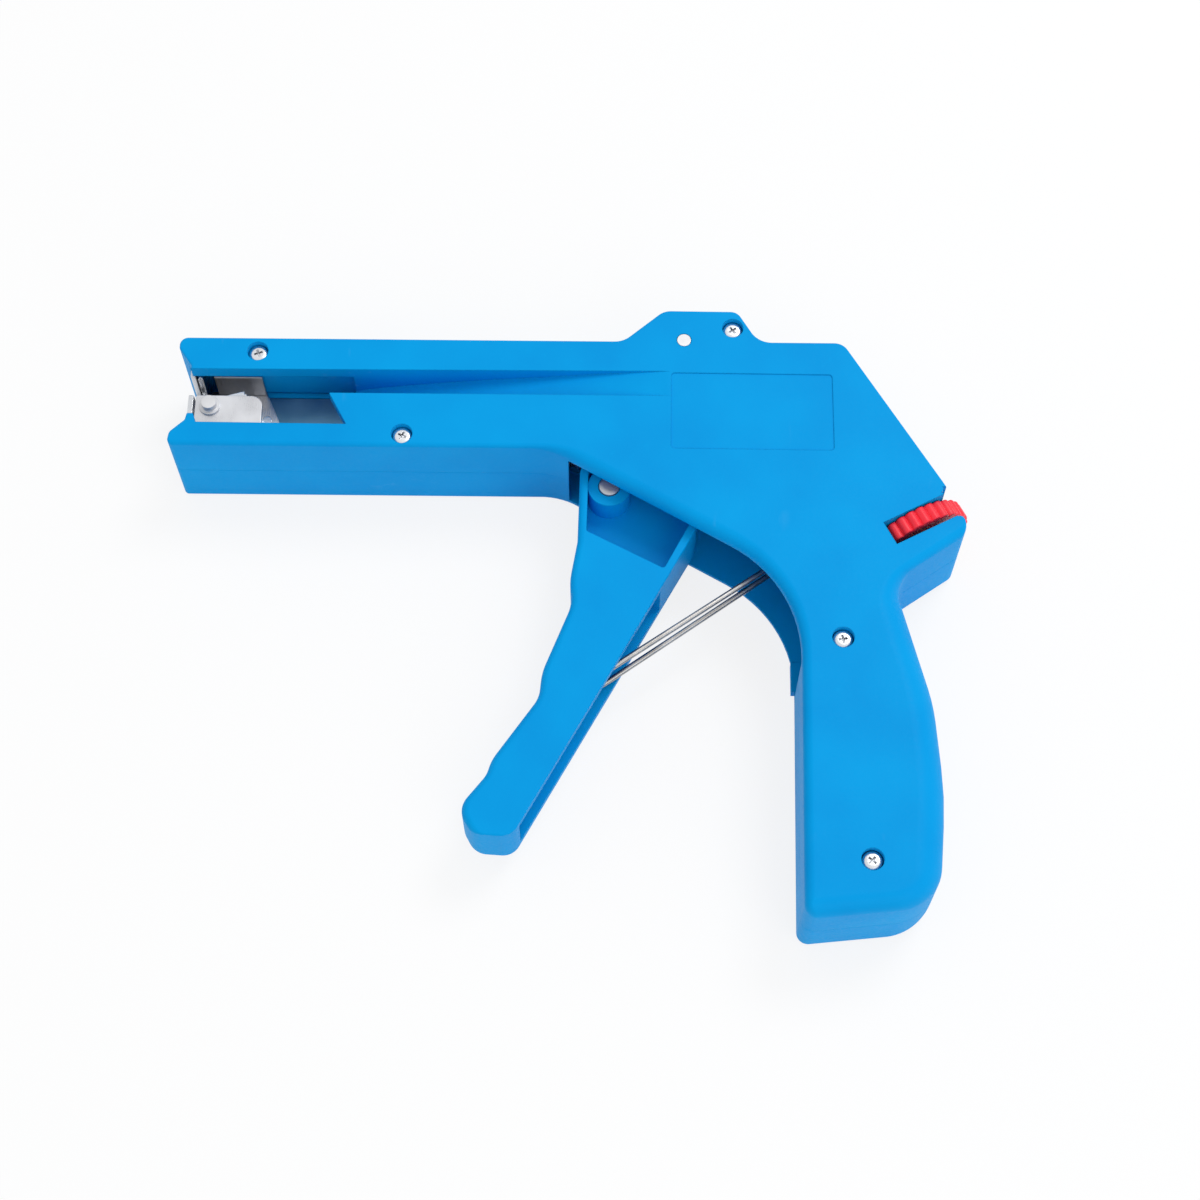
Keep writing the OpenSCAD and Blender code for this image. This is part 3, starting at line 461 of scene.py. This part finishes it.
BLUE = plastic("blue_plastic", (0.0, 0.31, 0.74), (0.0, 0.36, 0.80), (0.15, 0.50, 0.86),
               0.46, 0.3, 0.06)
RED = plastic("red_plastic", (0.92, 0.02, 0.045), (0.98, 0.05, 0.07), (0.9, 0.4, 0.38),
              0.36, 0.2, 0.3)
BRIGHT = steel("bright_steel", (0.66, 0.67, 0.69), (0.80, 0.81, 0.83), 0.24)
SHEET = steel("sheet_steel", (0.60, 0.61, 0.63), (0.76, 0.77, 0.79), 0.27, (14, 1, 14))
# The carriage's steel gets painted shade on its anvil's wall
CARRIAGE = steel("carriage_steel", (0.58, 0.58, 0.60), (0.72, 0.72, 0.74), 0.3, (14, 1, 14),
                 0.2, True)
# Dark steel of the pull bar, its colour tinted blue as a painted reflection of the blue shells
# round it
DARK_WITH_BLUE_REFLECTION = steel("dark_steel", (0.11, 0.25, 0.36), (0.17, 0.33, 0.45), 0.42, (1, 16, 16))
PIN = steel("pin_steel", (0.54, 0.54, 0.55), (0.66, 0.66, 0.67), 0.5, (1, 1, 1))
WIRE = steel("spring_wire", (0.34, 0.32, 0.30), (0.50, 0.48, 0.46), 0.30, (1, 1, 1), 0.0)
BRASS = steel("turned_brass", (0.68, 0.47, 0.18), (0.80, 0.60, 0.28), 0.26, (1, 1, 1))

# Shells

PANEL = ((-2.7, -12.6), (31.4, 5.5))
PANEL_DEPTH = 0.2
PANEL_R = 0.8

# The exit groove's floor: x, and depth below the face
RAMP = [(-2.9, 0.0), (-12.5, 0.8), (-29.9, 2.85), (-47.3, 4.9), (-61.3, 7.15), (-67.5, 8.46),
        (-70.4, 9.4)]
RAMP_WALL = 1.4

# The groove's walls, which climb a little: a height, the x it is at, and the climb over a length
GROOVE_LOW = (-0.5, -75, 0.4, 70)
GROOVE_HIGH = (WINDOW_Y[1], -105, 0.95, 100)

# The knob's slot, the web round it and the rod's hole, along the knob's axis from the knob
SLOT_SPAN = (-2.85, 2.7)
SLOT_R = 14.3
SLOT_ROUNDING = (1.6, 1.2)
WEB_SPAN = (-4.65, 6.5)
WEB_REACH = 18.0
WEB_SIDE = 20.0
ROD_HOLE_SPAN = (-18.0, 4.9)
ROD_HOLE_R = 2.5

# The window's corners behind the nose plate and at the slanted end
WINDOW_FRONT = (-103.2, -102.6)
WINDOW_REAR = (-70.9, -74.9)

# Pocket of the nose plate, room of the trigger, and pivot
POCKET_X = (-105.4, -101.2)
POCKET_TOP = 9.7
TRIGGER_ROOM = [(-24.1, -7.6), (-24.1, -59.6), (26.4, -59.6), (26.4, -21.8)]
PIVOT_BOSS_R = 3.6
PIVOT_HOLE_R = 1.56
BLIND_HOLE_END = 18.5

# Rib beside the carriage, rails of the pull bar (inner and outer side, and height), and lug
CHANNEL_RIB_X = -99.6
CHANNEL_RIB_Y = (6.1, 7.6)
RAIL_X = (-97.0, -48.0)
RAILS = (("guide", (5.3, 6.6), 12.9), ("ledge", (4.75, 6.6), 14.7))
LUG_X = (23.1, 25.5)
LUG_Y = (-58.6, -52.0)
LUG_DEPTH = (3.2, 0.8)

# Corners where the knob's slot meets the back
BACK_LINE = (SWELL - BACK_TOP).normalized()


def on_back_line(along):
    """Point of the back's outline at a distance along the knob's axis from the knob."""
    at = KNOB_AT + BACK_DIR * along
    for a, b in ((BACK_TOP, SWELL), (SWELL, TAIL_TIP)):
        span = (b - a).dot(BACK_DIR)
        share = (at - a).dot(BACK_DIR) / span
        if share <= 1:
            break
    return a + (b - a) * share


SLOT_CORNER = (on_back_line(SLOT_SPAN[0]), on_back_line(SLOT_SPAN[1]))


def along_back():
    """Matrix that lays a shape standing on Z along the slanted back."""
    side = BACK_DIR.cross(BACK_OUT)
    turn = Matrix((BACK_OUT, side, BACK_DIR)).transposed().to_4x4()
    return Matrix.Translation(KNOB_AT) @ turn


def ramp_line(drop=0.0, steps=6):
    """Smooth line of the exit groove's floor, from its rear end to the window."""
    points = []
    for i in range(len(RAMP) - 1):
        a, b, c, d = (RAMP[max(i - 1, 0)], RAMP[i], RAMP[i + 1], RAMP[min(i + 2, len(RAMP) - 1)])
        for j in range(steps):
            f = j / steps
            w = (-0.5 * f + f * f - 0.5 * f ** 3, 1 - 2.5 * f * f + 1.5 * f ** 3,
                 0.5 * f + 2 * f * f - 1.5 * f ** 3, -0.5 * f * f + 0.5 * f ** 3)
            x, depth = (sum(k * p[m] for k, p in zip(w, (a, b, c, d))) for m in (0, 1))
            points.append((x, BODY_T - max(depth, 0) - drop))
    points.append((RAMP[-1][0], BODY_T - RAMP[-1][1] - drop))
    return points


def height_at(x, wall):
    """Height of one of the groove's walls."""
    height, at, climb, length = wall
    return height + climb * (x - at) / length


def across(points, more=0.0):
    """The groove's section in X and Z, carried from its lower wall to its upper one."""
    return stack([[(x, height_at(x, GROOVE_LOW) - more, z) for x, z in points],
                  [(x, height_at(x, GROOVE_HIGH) + more, z) for x, z in points]])


def rounded_corner(corner, a, b, r, steps=5):
    """Tool that rounds a corner of the outline between the directions a and b."""
    turn = a.angle(b)
    reach = r / math.tan(turn / 2)
    middle = corner + (a + b).normalized() * (r / math.sin(turn / 2))
    start, end = corner + a * reach - middle, corner + b * reach - middle
    arc = [middle + start.slerp(end, i / steps) for i in range(steps + 1)]
    out = -(a + b).normalized()
    points = [corner + a * reach + out, *arc, corner + b * reach + out, corner + 2 * out]
    return prism(points, -OVER, BODY_T + OVER)


def rounded_box(low, high, r, z0, z1):
    corners = [(low[0], low[1], r, 0), (high[0], low[1], r, 0), (high[0], high[1], r, 0),
               (low[0], high[1], r, 0)]
    return prism(ring(corners), z0, z1)


def shell_room(name, left):
    """The room inside a shell, less its webs and screw bosses."""
    room = make_object(name + "_room", prism(ring(ROOM, 0, EDGE_WALL), MID_Z - OVER, INNER_Z))
    web = prism([(-WEB_REACH, -WEB_SIDE), (BODY_T, -WEB_SIDE), (BODY_T, WEB_SIDE),
                 (-WEB_REACH, WEB_SIDE)], *WEB_SPAN)
    solids = [make_object("web", web, along_back())]
    solids += [make_object("boss", disc(s, BOSS_R, MID_Z - 2 * OVER, BODY_T)) for s in SCREWS]
    if left:
        end = RAMP[-1][0]
        pivot_boss = disc(PIVOT, PIVOT_BOSS_R, TRIGGER_Z[1] + GAP, BODY_T)
        section = ramp_line(RAMP_WALL) + [(end, BODY_T), (RAMP[0][0], BODY_T)]
        rib = box((CHANNEL_RIB_X, CHANNEL_RIB_Y[0], MID_Z), (end, CHANNEL_RIB_Y[1], BODY_T))
        solids += [make_object("pivot_boss", pivot_boss),
                   make_object("groove_body", across(section, RAMP_WALL)),
                   make_object("channel_rib", rib)]
    else:
        for side in (-1, 1):
            for rail, (inner, outer), z0 in RAILS:
                low, high = sorted((side * inner, side * outer))
                shape = box((RAIL_X[0], low, z0), (RAIL_X[1], high, BODY_T))
                solids.append(make_object(rail, shape))
    return boolean(room, solids)


def shell(name, left):
    """One shell of the housing. The right one is built upright too, and then turned over."""
    obj = make_object(name, rounded_plate(SHELL, MID_Z, BODY_T))
    boolean(obj, [shell_room(name, left)])
    above = BODY_T + OVER
    upper = rounded_corner(SLOT_CORNER[0], -BACK_LINE, -BACK_OUT, SLOT_ROUNDING[0])
    lower = rounded_corner(SLOT_CORNER[1], BACK_LINE, -BACK_OUT, SLOT_ROUNDING[1])
    pocket = box((POCKET_X[0], WINDOW_Y[0], MID_Z - OVER), (POCKET_X[1], POCKET_TOP, INNER_Z))
    tools = [
        make_object("mouth", prism(TRIGGER_ROOM, MID_Z - OVER, INNER_Z + GAP)),
        make_object("slot", disc((0, 0), SLOT_R, *SLOT_SPAN, 144), along_back()),
        make_object("upper_corner", upper), make_object("lower_corner", lower),
        make_object("rod_hole", disc((0, 0), ROD_HOLE_R, *ROD_HOLE_SPAN), along_back()),
        make_object("pocket", pocket)]
    hole_end = BODY_T if left else BLIND_HOLE_END
    if left:
        end, end_depth = RAMP[-1]
        window = [(NOSE_X - OVER, WINDOW_Y[1]), (NOSE_X - OVER, -MOUTH_HALF),
                  (WINDOW_FRONT[0], -MOUTH_HALF), (WINDOW_FRONT[1], WINDOW_Y[0]),
                  (WINDOW_REAR[0], WINDOW_Y[0]),
                  (WINDOW_REAR[1], height_at(WINDOW_REAR[1], GROOVE_LOW)),
                  (end, height_at(end, GROOVE_LOW)), (end, height_at(end, GROOVE_HIGH))]
        section = ramp_line() + [(end - OVER, BODY_T - end_depth), (end - OVER, above),
                                 (RAMP[0][0], above)]
        panel = rounded_box(*PANEL, PANEL_R, BODY_T - PANEL_DEPTH, above)
        tools += [make_object("window", prism(window, MID_Z - OVER, above)),
                  make_object("groove", across(section)), make_object("panel", panel),
                  make_object("pivot_hole", disc(PIVOT, PIVOT_HOLE_R, MID_Z, above))]
    for s in SCREWS:
        if left:
            tools.append(make_object("sink", disc(s, SCREW_SINK_R, SCREW_HEAD_Z[0], above)))
        hole = disc(s, SCREW_R + SCREW_GAP, MID_Z - OVER, hole_end)
        tools.append(make_object("hole", hole))
    boolean(obj, tools)
    if not left:
        lug = box((LUG_X[0], LUG_Y[0], BODY_T - LUG_DEPTH[0]),
                  (LUG_X[1], LUG_Y[1], BODY_T - LUG_DEPTH[1]))
        boolean(obj, [make_object("lug", lug)], "UNION")
        turn = Matrix.Scale(-1, 4, (0, 0, 1))
        obj.data.transform(Matrix.Translation((0, 0, BODY_T * MM)) @ turn)
        obj.data.flip_normals()
    return finish_mesh(obj)


settle(shell("shell_left", True), "housing", "blue_plastic", BLUE, "housing_left")
settle(shell("shell_right", False), "housing", "blue_plastic", BLUE, "housing_right")

# Trigger


def trigger_piece():
    obj = make_object("trigger_body", rounded_plate(TRIGGER, *TRIGGER_Z, both=True))
    low, high = TRIGGER_Z
    channel = prism(ring(CHANNEL, 0, FRONT_WALL), low + TRIGGER_WALL, high - TRIGGER_WALL)
    tools = [make_object("channel", channel)]
    for upper in (True, False):
        z0, z1 = (WEB_Z[1], high + OVER) if upper else (low - OVER, WEB_Z[0])
        recess = make_object("recess", prism(ring(ARM, 0, RIB), z0, z1))
        solids = [make_object("hub", disc(PIVOT, HUB_R, z0 - OVER, z1 + OVER))]
        if upper:
            boss = disc(LINK_PIN, LINK_BOSS_R, WEB_Z[0], high - LINK_BOSS_STEP, 64)
            solids.append(make_object("boss", boss))
        tools.append(boolean(recess, solids))
    half = LINK_BOSS_R + LINK_ROOM
    tools += [
        make_object("link_gap", box((-TRIGGER_LEN, LINK_PIN[1] - half, LINK_Z[0] - GAP),
                                    (LINK_PIN[0] + half, PIVOT[1] - HUB_R, LINK_Z[1] + GAP))),
        make_object("pivot_bore", disc(PIVOT, PIVOT_BORE_R, low - OVER, high + OVER)),
        make_object("link_bore", disc(LINK_PIN, LINK_BORE_R, low, high + OVER))]
    return finish_mesh(boolean(obj, tools))


settle(trigger_piece(), "trigger", "blue_plastic", BLUE, "trigger")

# Knob

KNOB_R = 11.9
KNOB_SPAN = (-2.7, 1.2)
KNOB_BORE_R = 3.8
RIDGES = 31
RIDGE_STEPS = 12
RIDGE_DEPTH = 0.75
KNOB_EDGE = [(0.5, 0.0), (0.15, 0.12), (0, 0.45)]
DISH_R = 10.0
DISH_DEPTH = 0.4
WASHER_ROOM_R = 4.4
WASHER_ROOM_END = -1.8


def knob_piece():
    """Wheel with rounded ridges, a shallow dish on each side and room for the washer."""
    def rim(shrink, z):
        points = []
        for i in range(RIDGES * RIDGE_STEPS):
            angle = 2 * math.pi * i / (RIDGES * RIDGE_STEPS)
            wave = abs(math.sin(RIDGES * angle / 2)) ** 0.75
            r = KNOB_R - shrink - RIDGE_DEPTH * (1 - wave)
            points.append((r * math.cos(angle), r * math.sin(angle), z))
        return points

    def cutter(name, r, z0, z1, sides):
        return make_object(name, disc((0, 0), r, z0, z1, sides), along_back())

    top, low = KNOB_SPAN
    rims = ([rim(s, top + z) for s, z in KNOB_EDGE]
            + [rim(s, low - z) for s, z in reversed(KNOB_EDGE)])
    obj = make_object("knob_wheel", stack(rims), along_back())
    cuts = [cutter("dish", DISH_R, z - DISH_DEPTH, z + DISH_DEPTH, 96) for z in KNOB_SPAN]
    cuts.append(cutter("bore", KNOB_BORE_R, top - OVER, low + OVER, 64))
    cuts.append(cutter("recess", WASHER_ROOM_R, top - OVER, WASHER_ROOM_END, 64))
    return finish_mesh(boolean(obj, cuts))


settle(knob_piece(), "knob", "red_plastic", RED, "tension_knob")

# Springs


def tube(name, path, r, sides=12):
    """Round wire swept along points, its section carried along without twisting."""
    points = [Vector(p) for p in path]
    tangents = [(points[min(i + 1, len(points) - 1)] - points[max(i - 1, 0)]).normalized()
                for i in range(len(points))]
    side = tangents[0].orthogonal().normalized()
    rings = []
    for p, t in zip(points, tangents):
        side = (side - t * side.dot(t)).normalized()
        other = t.cross(side)
        rings.append([p + (side * math.cos(a) + other * math.sin(a)) * r
                      for a in (2 * math.pi * k / sides for k in range(sides))])
    return finish_mesh(make_object(name, stack(rings)), 60)


UP = Vector((0, 0, 1))
CURL_STEPS = 24
CURL_GAP = 0.5

RETURN_AT = Vector((28.0, -24.8, MID_Z))
RETURN_R = 2.6
RETURN_WIRE = 1.2
LEG_ANGLE = math.radians(215.9)
LEG_DIR = Vector((math.cos(LEG_ANGLE), math.sin(LEG_ANGLE), 0))
LEG_SIDE = Vector((-LEG_DIR.y, LEG_DIR.x, 0))
LEG_LEN = 64.8
LEG_SHARES = (0.8, 0.6, 0.4, 0.2, 0.05)
LEG_CURLS = 3
TANG = 3.0

# Half the distance between the legs, at the curls and at the loop that joins them
LEG_HALF = 1.7
LOOP_HALF = 3.2


def return_spring_path():
    """One tang and its curls, the leg to the loop, and the same back on the other side."""
    start = RETURN_AT + LEG_SIDE * RETURN_R
    end = start + LEG_DIR * LEG_LEN
    pitch = RETURN_WIRE + CURL_GAP

    def half(side):
        points = [start + LEG_DIR * LEG_LEN * f
                  + UP * side * (LEG_HALF + (LOOP_HALF - LEG_HALF) * f) for f in LEG_SHARES]
        for i in range(LEG_CURLS * CURL_STEPS + 1):
            a = LEG_ANGLE + math.pi / 2 + 2 * math.pi * i / CURL_STEPS
            points.append(RETURN_AT + Vector((math.cos(a), math.sin(a), 0)) * RETURN_R
                          + UP * side * (LEG_HALF + pitch * i / CURL_STEPS))
        points.append(start - LEG_DIR * TANG + UP * side * (LEG_HALF + pitch * LEG_CURLS))
        return points

    loop = [end + LEG_DIR * LOOP_HALF * math.cos(a) + UP * LOOP_HALF * math.sin(a)
            for a in (math.radians(g) for g in range(-90, 91, 15))]
    return list(reversed(half(-1))) + loop + half(1)


settle(tube("return_spring_wire", return_spring_path(), RETURN_WIRE / 2), "return_spring",
       "spring_steel", WIRE, "return_spring")

TENSION_WIRE = 1.1
TENSION_R = 2.7
TENSION_CURLS = 9
ROD_REACH = 18.0
EYE_UP = ROD_REACH - 2
EYE_IN = -0.55
EYE_Z = (-2.4, -1.2, 0)
HOOK_UP = 38.2
POST_R = 1.3
HOOK_GAP = 0.15
HOOK_R = POST_R + TENSION_WIRE / 2 + HOOK_GAP


def tension_spring_path():
    """The end in the rod's eye, the curls, and the hook round the lever's post."""
    pitch = TENSION_WIRE + CURL_GAP

    def off_axis(along, out, z):
        return KNOB_AT - BACK_DIR * along + BACK_OUT * out + UP * z

    path = [off_axis(EYE_UP, EYE_IN, z) for z in EYE_Z]
    for i in range(TENSION_CURLS * CURL_STEPS + 1):
        a = math.pi / 2 + 2 * math.pi * i / CURL_STEPS
        path.append(off_axis(ROD_REACH + pitch * (1 + i / CURL_STEPS), TENSION_R * math.cos(a),
                             TENSION_R * math.sin(a)))
    path.append(off_axis(ROD_REACH + pitch * (TENSION_CURLS + 2), HOOK_R, HOOK_R))
    for g in range(45, 286, 15):
        a = math.radians(g)
        path.append(off_axis(HOOK_UP - HOOK_R * math.cos(a), HOOK_R * math.sin(a), 0))
    return path


# The spring is given no body; its eye sits in the rod and its hook by the lever's post
settle(tube("tension_spring_wire", tension_spring_path(), TENSION_WIRE / 2), None,
       "spring_steel", WIRE, "tension_spring")
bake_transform(bpy.data.objects["tension_spring_wire"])

# Round pieces turned in the scene: the link's pin and the screws

LINK_PIN_PROFILE = [(2.9, 6.2), (2.9, 7.2), (2.2, 7.2), (2.2, 17.75), (2.05, 18.0), (1.7, 18.12),
                    (0.9, 18.2)]
SCREW_TURNS = (20, 65, 35, 10, 50)
CROSS_HALF_LEN = 1.35
CROSS_HALF_WIDTH = 0.3
CROSS_DEPTH = 1.1


def lathe(profile, sides=48):
    """Closed mesh turned round Z from (radius, height) pairs, with a flat disc at each end."""
    rings = [[(r * math.cos(2 * math.pi * i / sides), r * math.sin(2 * math.pi * i / sides), z)
              for i in range(sides)] for r, z in profile]
    return stack(rings)


def link_pin_piece():
    place = Matrix.Translation((*LINK_PIN, 0))
    return finish_mesh(make_object("link_pin_turned", lathe(LINK_PIN_PROFILE, 64), place))


settle(link_pin_piece(), "trigger", "bright_steel", PIN, "link_pin")


def screw_piece():
    """The five screws in one piece: flat-topped round heads, each with a cross recess."""
    z0, z1 = SCREW_HEAD_Z
    dome = [(1, 0.7), (0.93, 0.32), (0.78, 0.1), (0.5, 0)]
    profile = ([(SCREW_R, SCREW_END_Z), (SCREW_R, z0), (SCREW_HEAD_R, z0)]
               + [(share * SCREW_HEAD_R, z1 - drop) for share, drop in dome])
    a, b = CROSS_HALF_LEN, CROSS_HALF_WIDTH
    wing = [(-a, -b), (a, -b), (a, b), (-a, b)]
    cross = stack([[(x * 0.35, y * 0.5, -CROSS_DEPTH) for x, y in wing],
                   [(x, y, OVER) for x, y in wing]])
    obj = None
    for s, turn in zip(SCREWS, SCREW_TURNS):
        screw = make_object("screw_heads", lathe(profile), Matrix.Translation((*s, 0)))
        cuts = []
        for quarter in (0, 90):
            spin = Matrix.Rotation(math.radians(turn + quarter), 4, "Z")
            cuts.append(make_object("cross", cross, Matrix.Translation((*s, z1)) @ spin))
        boolean(screw, cuts)
        if obj is None:
            obj = screw
        else:
            work = bmesh.new()
            work.from_mesh(obj.data)
            work.from_mesh(screw.data)
            work.to_mesh(obj.data)
            work.free()
            bpy.data.objects.remove(screw)
    return finish_mesh(obj)


settle(screw_piece(), "housing", "bright_steel", BRIGHT, "housing_screws")

# Steel and brass pieces whose CAD shape is right get fine bevels on a copy of their mesh

BODIES = frame["record"]["behaviour"]["bodies"]
BODY_OF = {node: body for body, nodes in BODIES.items() for node in nodes}
BEVEL = 0.12
BEVEL_ANGLE = math.radians(40)
FLAT_ANGLE = math.radians(0.5)


def dressed(node, material, slot):
    """Copy of a CAD node's mesh, without the seams of its flat faces and with fine bevels."""
    obj = bpy.data.objects.new(node + "_dressed", NODES[node].data.copy())
    bpy.context.scene.collection.objects.link(obj)
    work = bmesh.new()
    work.from_mesh(obj.data)
    bmesh.ops.remove_doubles(work, verts=work.verts, dist=1e-6)
    bmesh.ops.dissolve_limit(work, angle_limit=FLAT_ANGLE, verts=work.verts, edges=work.edges)
    bmesh.ops.recalc_face_normals(work, faces=work.faces)
    work.to_mesh(obj.data)
    work.free()
    step = obj.modifiers.new("bevel", "BEVEL")
    step.width = BEVEL * MM
    step.segments = 2
    step.limit_method = "ANGLE"
    step.angle_limit = BEVEL_ANGLE
    step.use_clamp_overlap = True
    baked(obj)
    finish_mesh(obj)
    return settle(obj, BODY_OF[node], slot, material, node)


for node, material, slot in (
        ("nose_plate", SHEET, "bright_steel"), ("gripper_carriage", CARRIAGE, "bright_steel"),
        ("gripper_pawl", BRIGHT, "bright_steel"), ("pawl_pin", PIN, "bright_steel"),
        ("pawl_spring", WIRE, "spring_steel"), ("cutter_blade", BRIGHT, "bright_steel"),
        ("cutter_lever", SHEET, "bright_steel"), ("spring_post", BRIGHT, "bright_steel"),
        ("pull_bar", DARK_WITH_BLUE_REFLECTION, "dark_steel"), ("pull_link", SHEET, "bright_steel"),
        ("link_front_pin", BRIGHT, "bright_steel"),
        ("carriage_rivets", BRIGHT, "bright_steel"), ("trigger_pivot_pin", PIN, "bright_steel"),
        ("return_spring_pin", BRIGHT, "bright_steel"), ("tension_rod", BRIGHT, "bright_steel"),
        ("knob_insert", BRASS, "brass"), ("thrust_washer", BRIGHT, "bright_steel")):
    dressed(node, material, slot)

# Floor, lamps and world

FLOOR_HALF = 4000.0
FLOOR_Z = (-20, -0.02)
FLOOR_COLOUR = (0.93, 0.93, 0.935)
FLOOR_PALE = (0.95, 0.95, 0.95)
FLOOR_GLOW = 0.82
SKY_COLOUR = (0.97, 0.985, 1, 1)
SKY_LIGHT = 0.66
LAMP_TARGET = (0, -0.03, 0)


def add_floor():
    """Pale matt floor that shows the camera the background's white, with the tool's shadow."""
    floor = make_object("floor", box((-FLOOR_HALF, -FLOOR_HALF, FLOOR_Z[0]),
                                     (FLOOR_HALF, FLOOR_HALF, FLOOR_Z[1])))
    n = Nodes("floor")
    n.link(n.mix(n.noise(6, 2), FLOOR_COLOUR, FLOOR_PALE), n.shader.inputs["Base Color"])
    n.set(Roughness=0.9)
    rays = n.add("ShaderNodeLightPath")
    glow = n.add("ShaderNodeEmission")
    glow.inputs["Color"].default_value = (1, 1, 1, 1)
    share = n.maths("MULTIPLY", n.maths("MAXIMUM", rays.outputs["Is Camera Ray"],
                                        rays.outputs["Is Glossy Ray"]), FLOOR_GLOW)
    blend = n.add("ShaderNodeMixShader")
    n.link(share, blend.inputs["Fac"])
    n.link(n.shader.outputs["BSDF"], blend.inputs[1])
    n.link(glow.outputs["Emission"], blend.inputs[2])
    n.link(blend.outputs["Shader"], n.tree.nodes["Material Output"].inputs["Surface"])
    floor.data.materials.append(n.material)


def add_world():
    """Even light on the object, and plain white for the camera and in reflections."""
    world = bpy.data.worlds.new("world")
    world.use_nodes = True
    bpy.context.scene.world = world
    tree = world.node_tree
    sky = tree.nodes["Background"]
    sky.inputs["Color"].default_value = SKY_COLOUR
    rays = tree.nodes.new("ShaderNodeLightPath")
    seen = tree.nodes.new("ShaderNodeMath")
    seen.operation = "MAXIMUM"
    tree.links.new(rays.outputs["Is Camera Ray"], seen.inputs[0])
    tree.links.new(rays.outputs["Is Glossy Ray"], seen.inputs[1])
    strength = tree.nodes.new("ShaderNodeMapRange")
    strength.inputs["To Min"].default_value = SKY_LIGHT
    strength.inputs["To Max"].default_value = 1.0
    tree.links.new(seen.outputs["Value"], strength.inputs["Value"])
    tree.links.new(strength.outputs["Result"], sky.inputs["Strength"])


def add_lamp(name, at, size, power):
    data = bpy.data.lights.new(name, "AREA")
    data.shape = "DISK"
    data.size = size
    data.energy = power
    lamp = bpy.data.objects.new(name, data)
    aim = Vector(LAMP_TARGET) - Vector(at)
    lamp.location = at
    lamp.rotation_euler = aim.to_track_quat("-Z", "Y").to_euler()
    bpy.context.scene.collection.objects.link(lamp)


add_floor()
add_world()
add_lamp("key", (0.42, 0.42, 0.95), 0.5, 4.2)
add_lamp("fill", (0.45, -0.8, 0.7), 0.9, 2.6)
bpy.context.scene.view_settings.view_transform = "Standard"
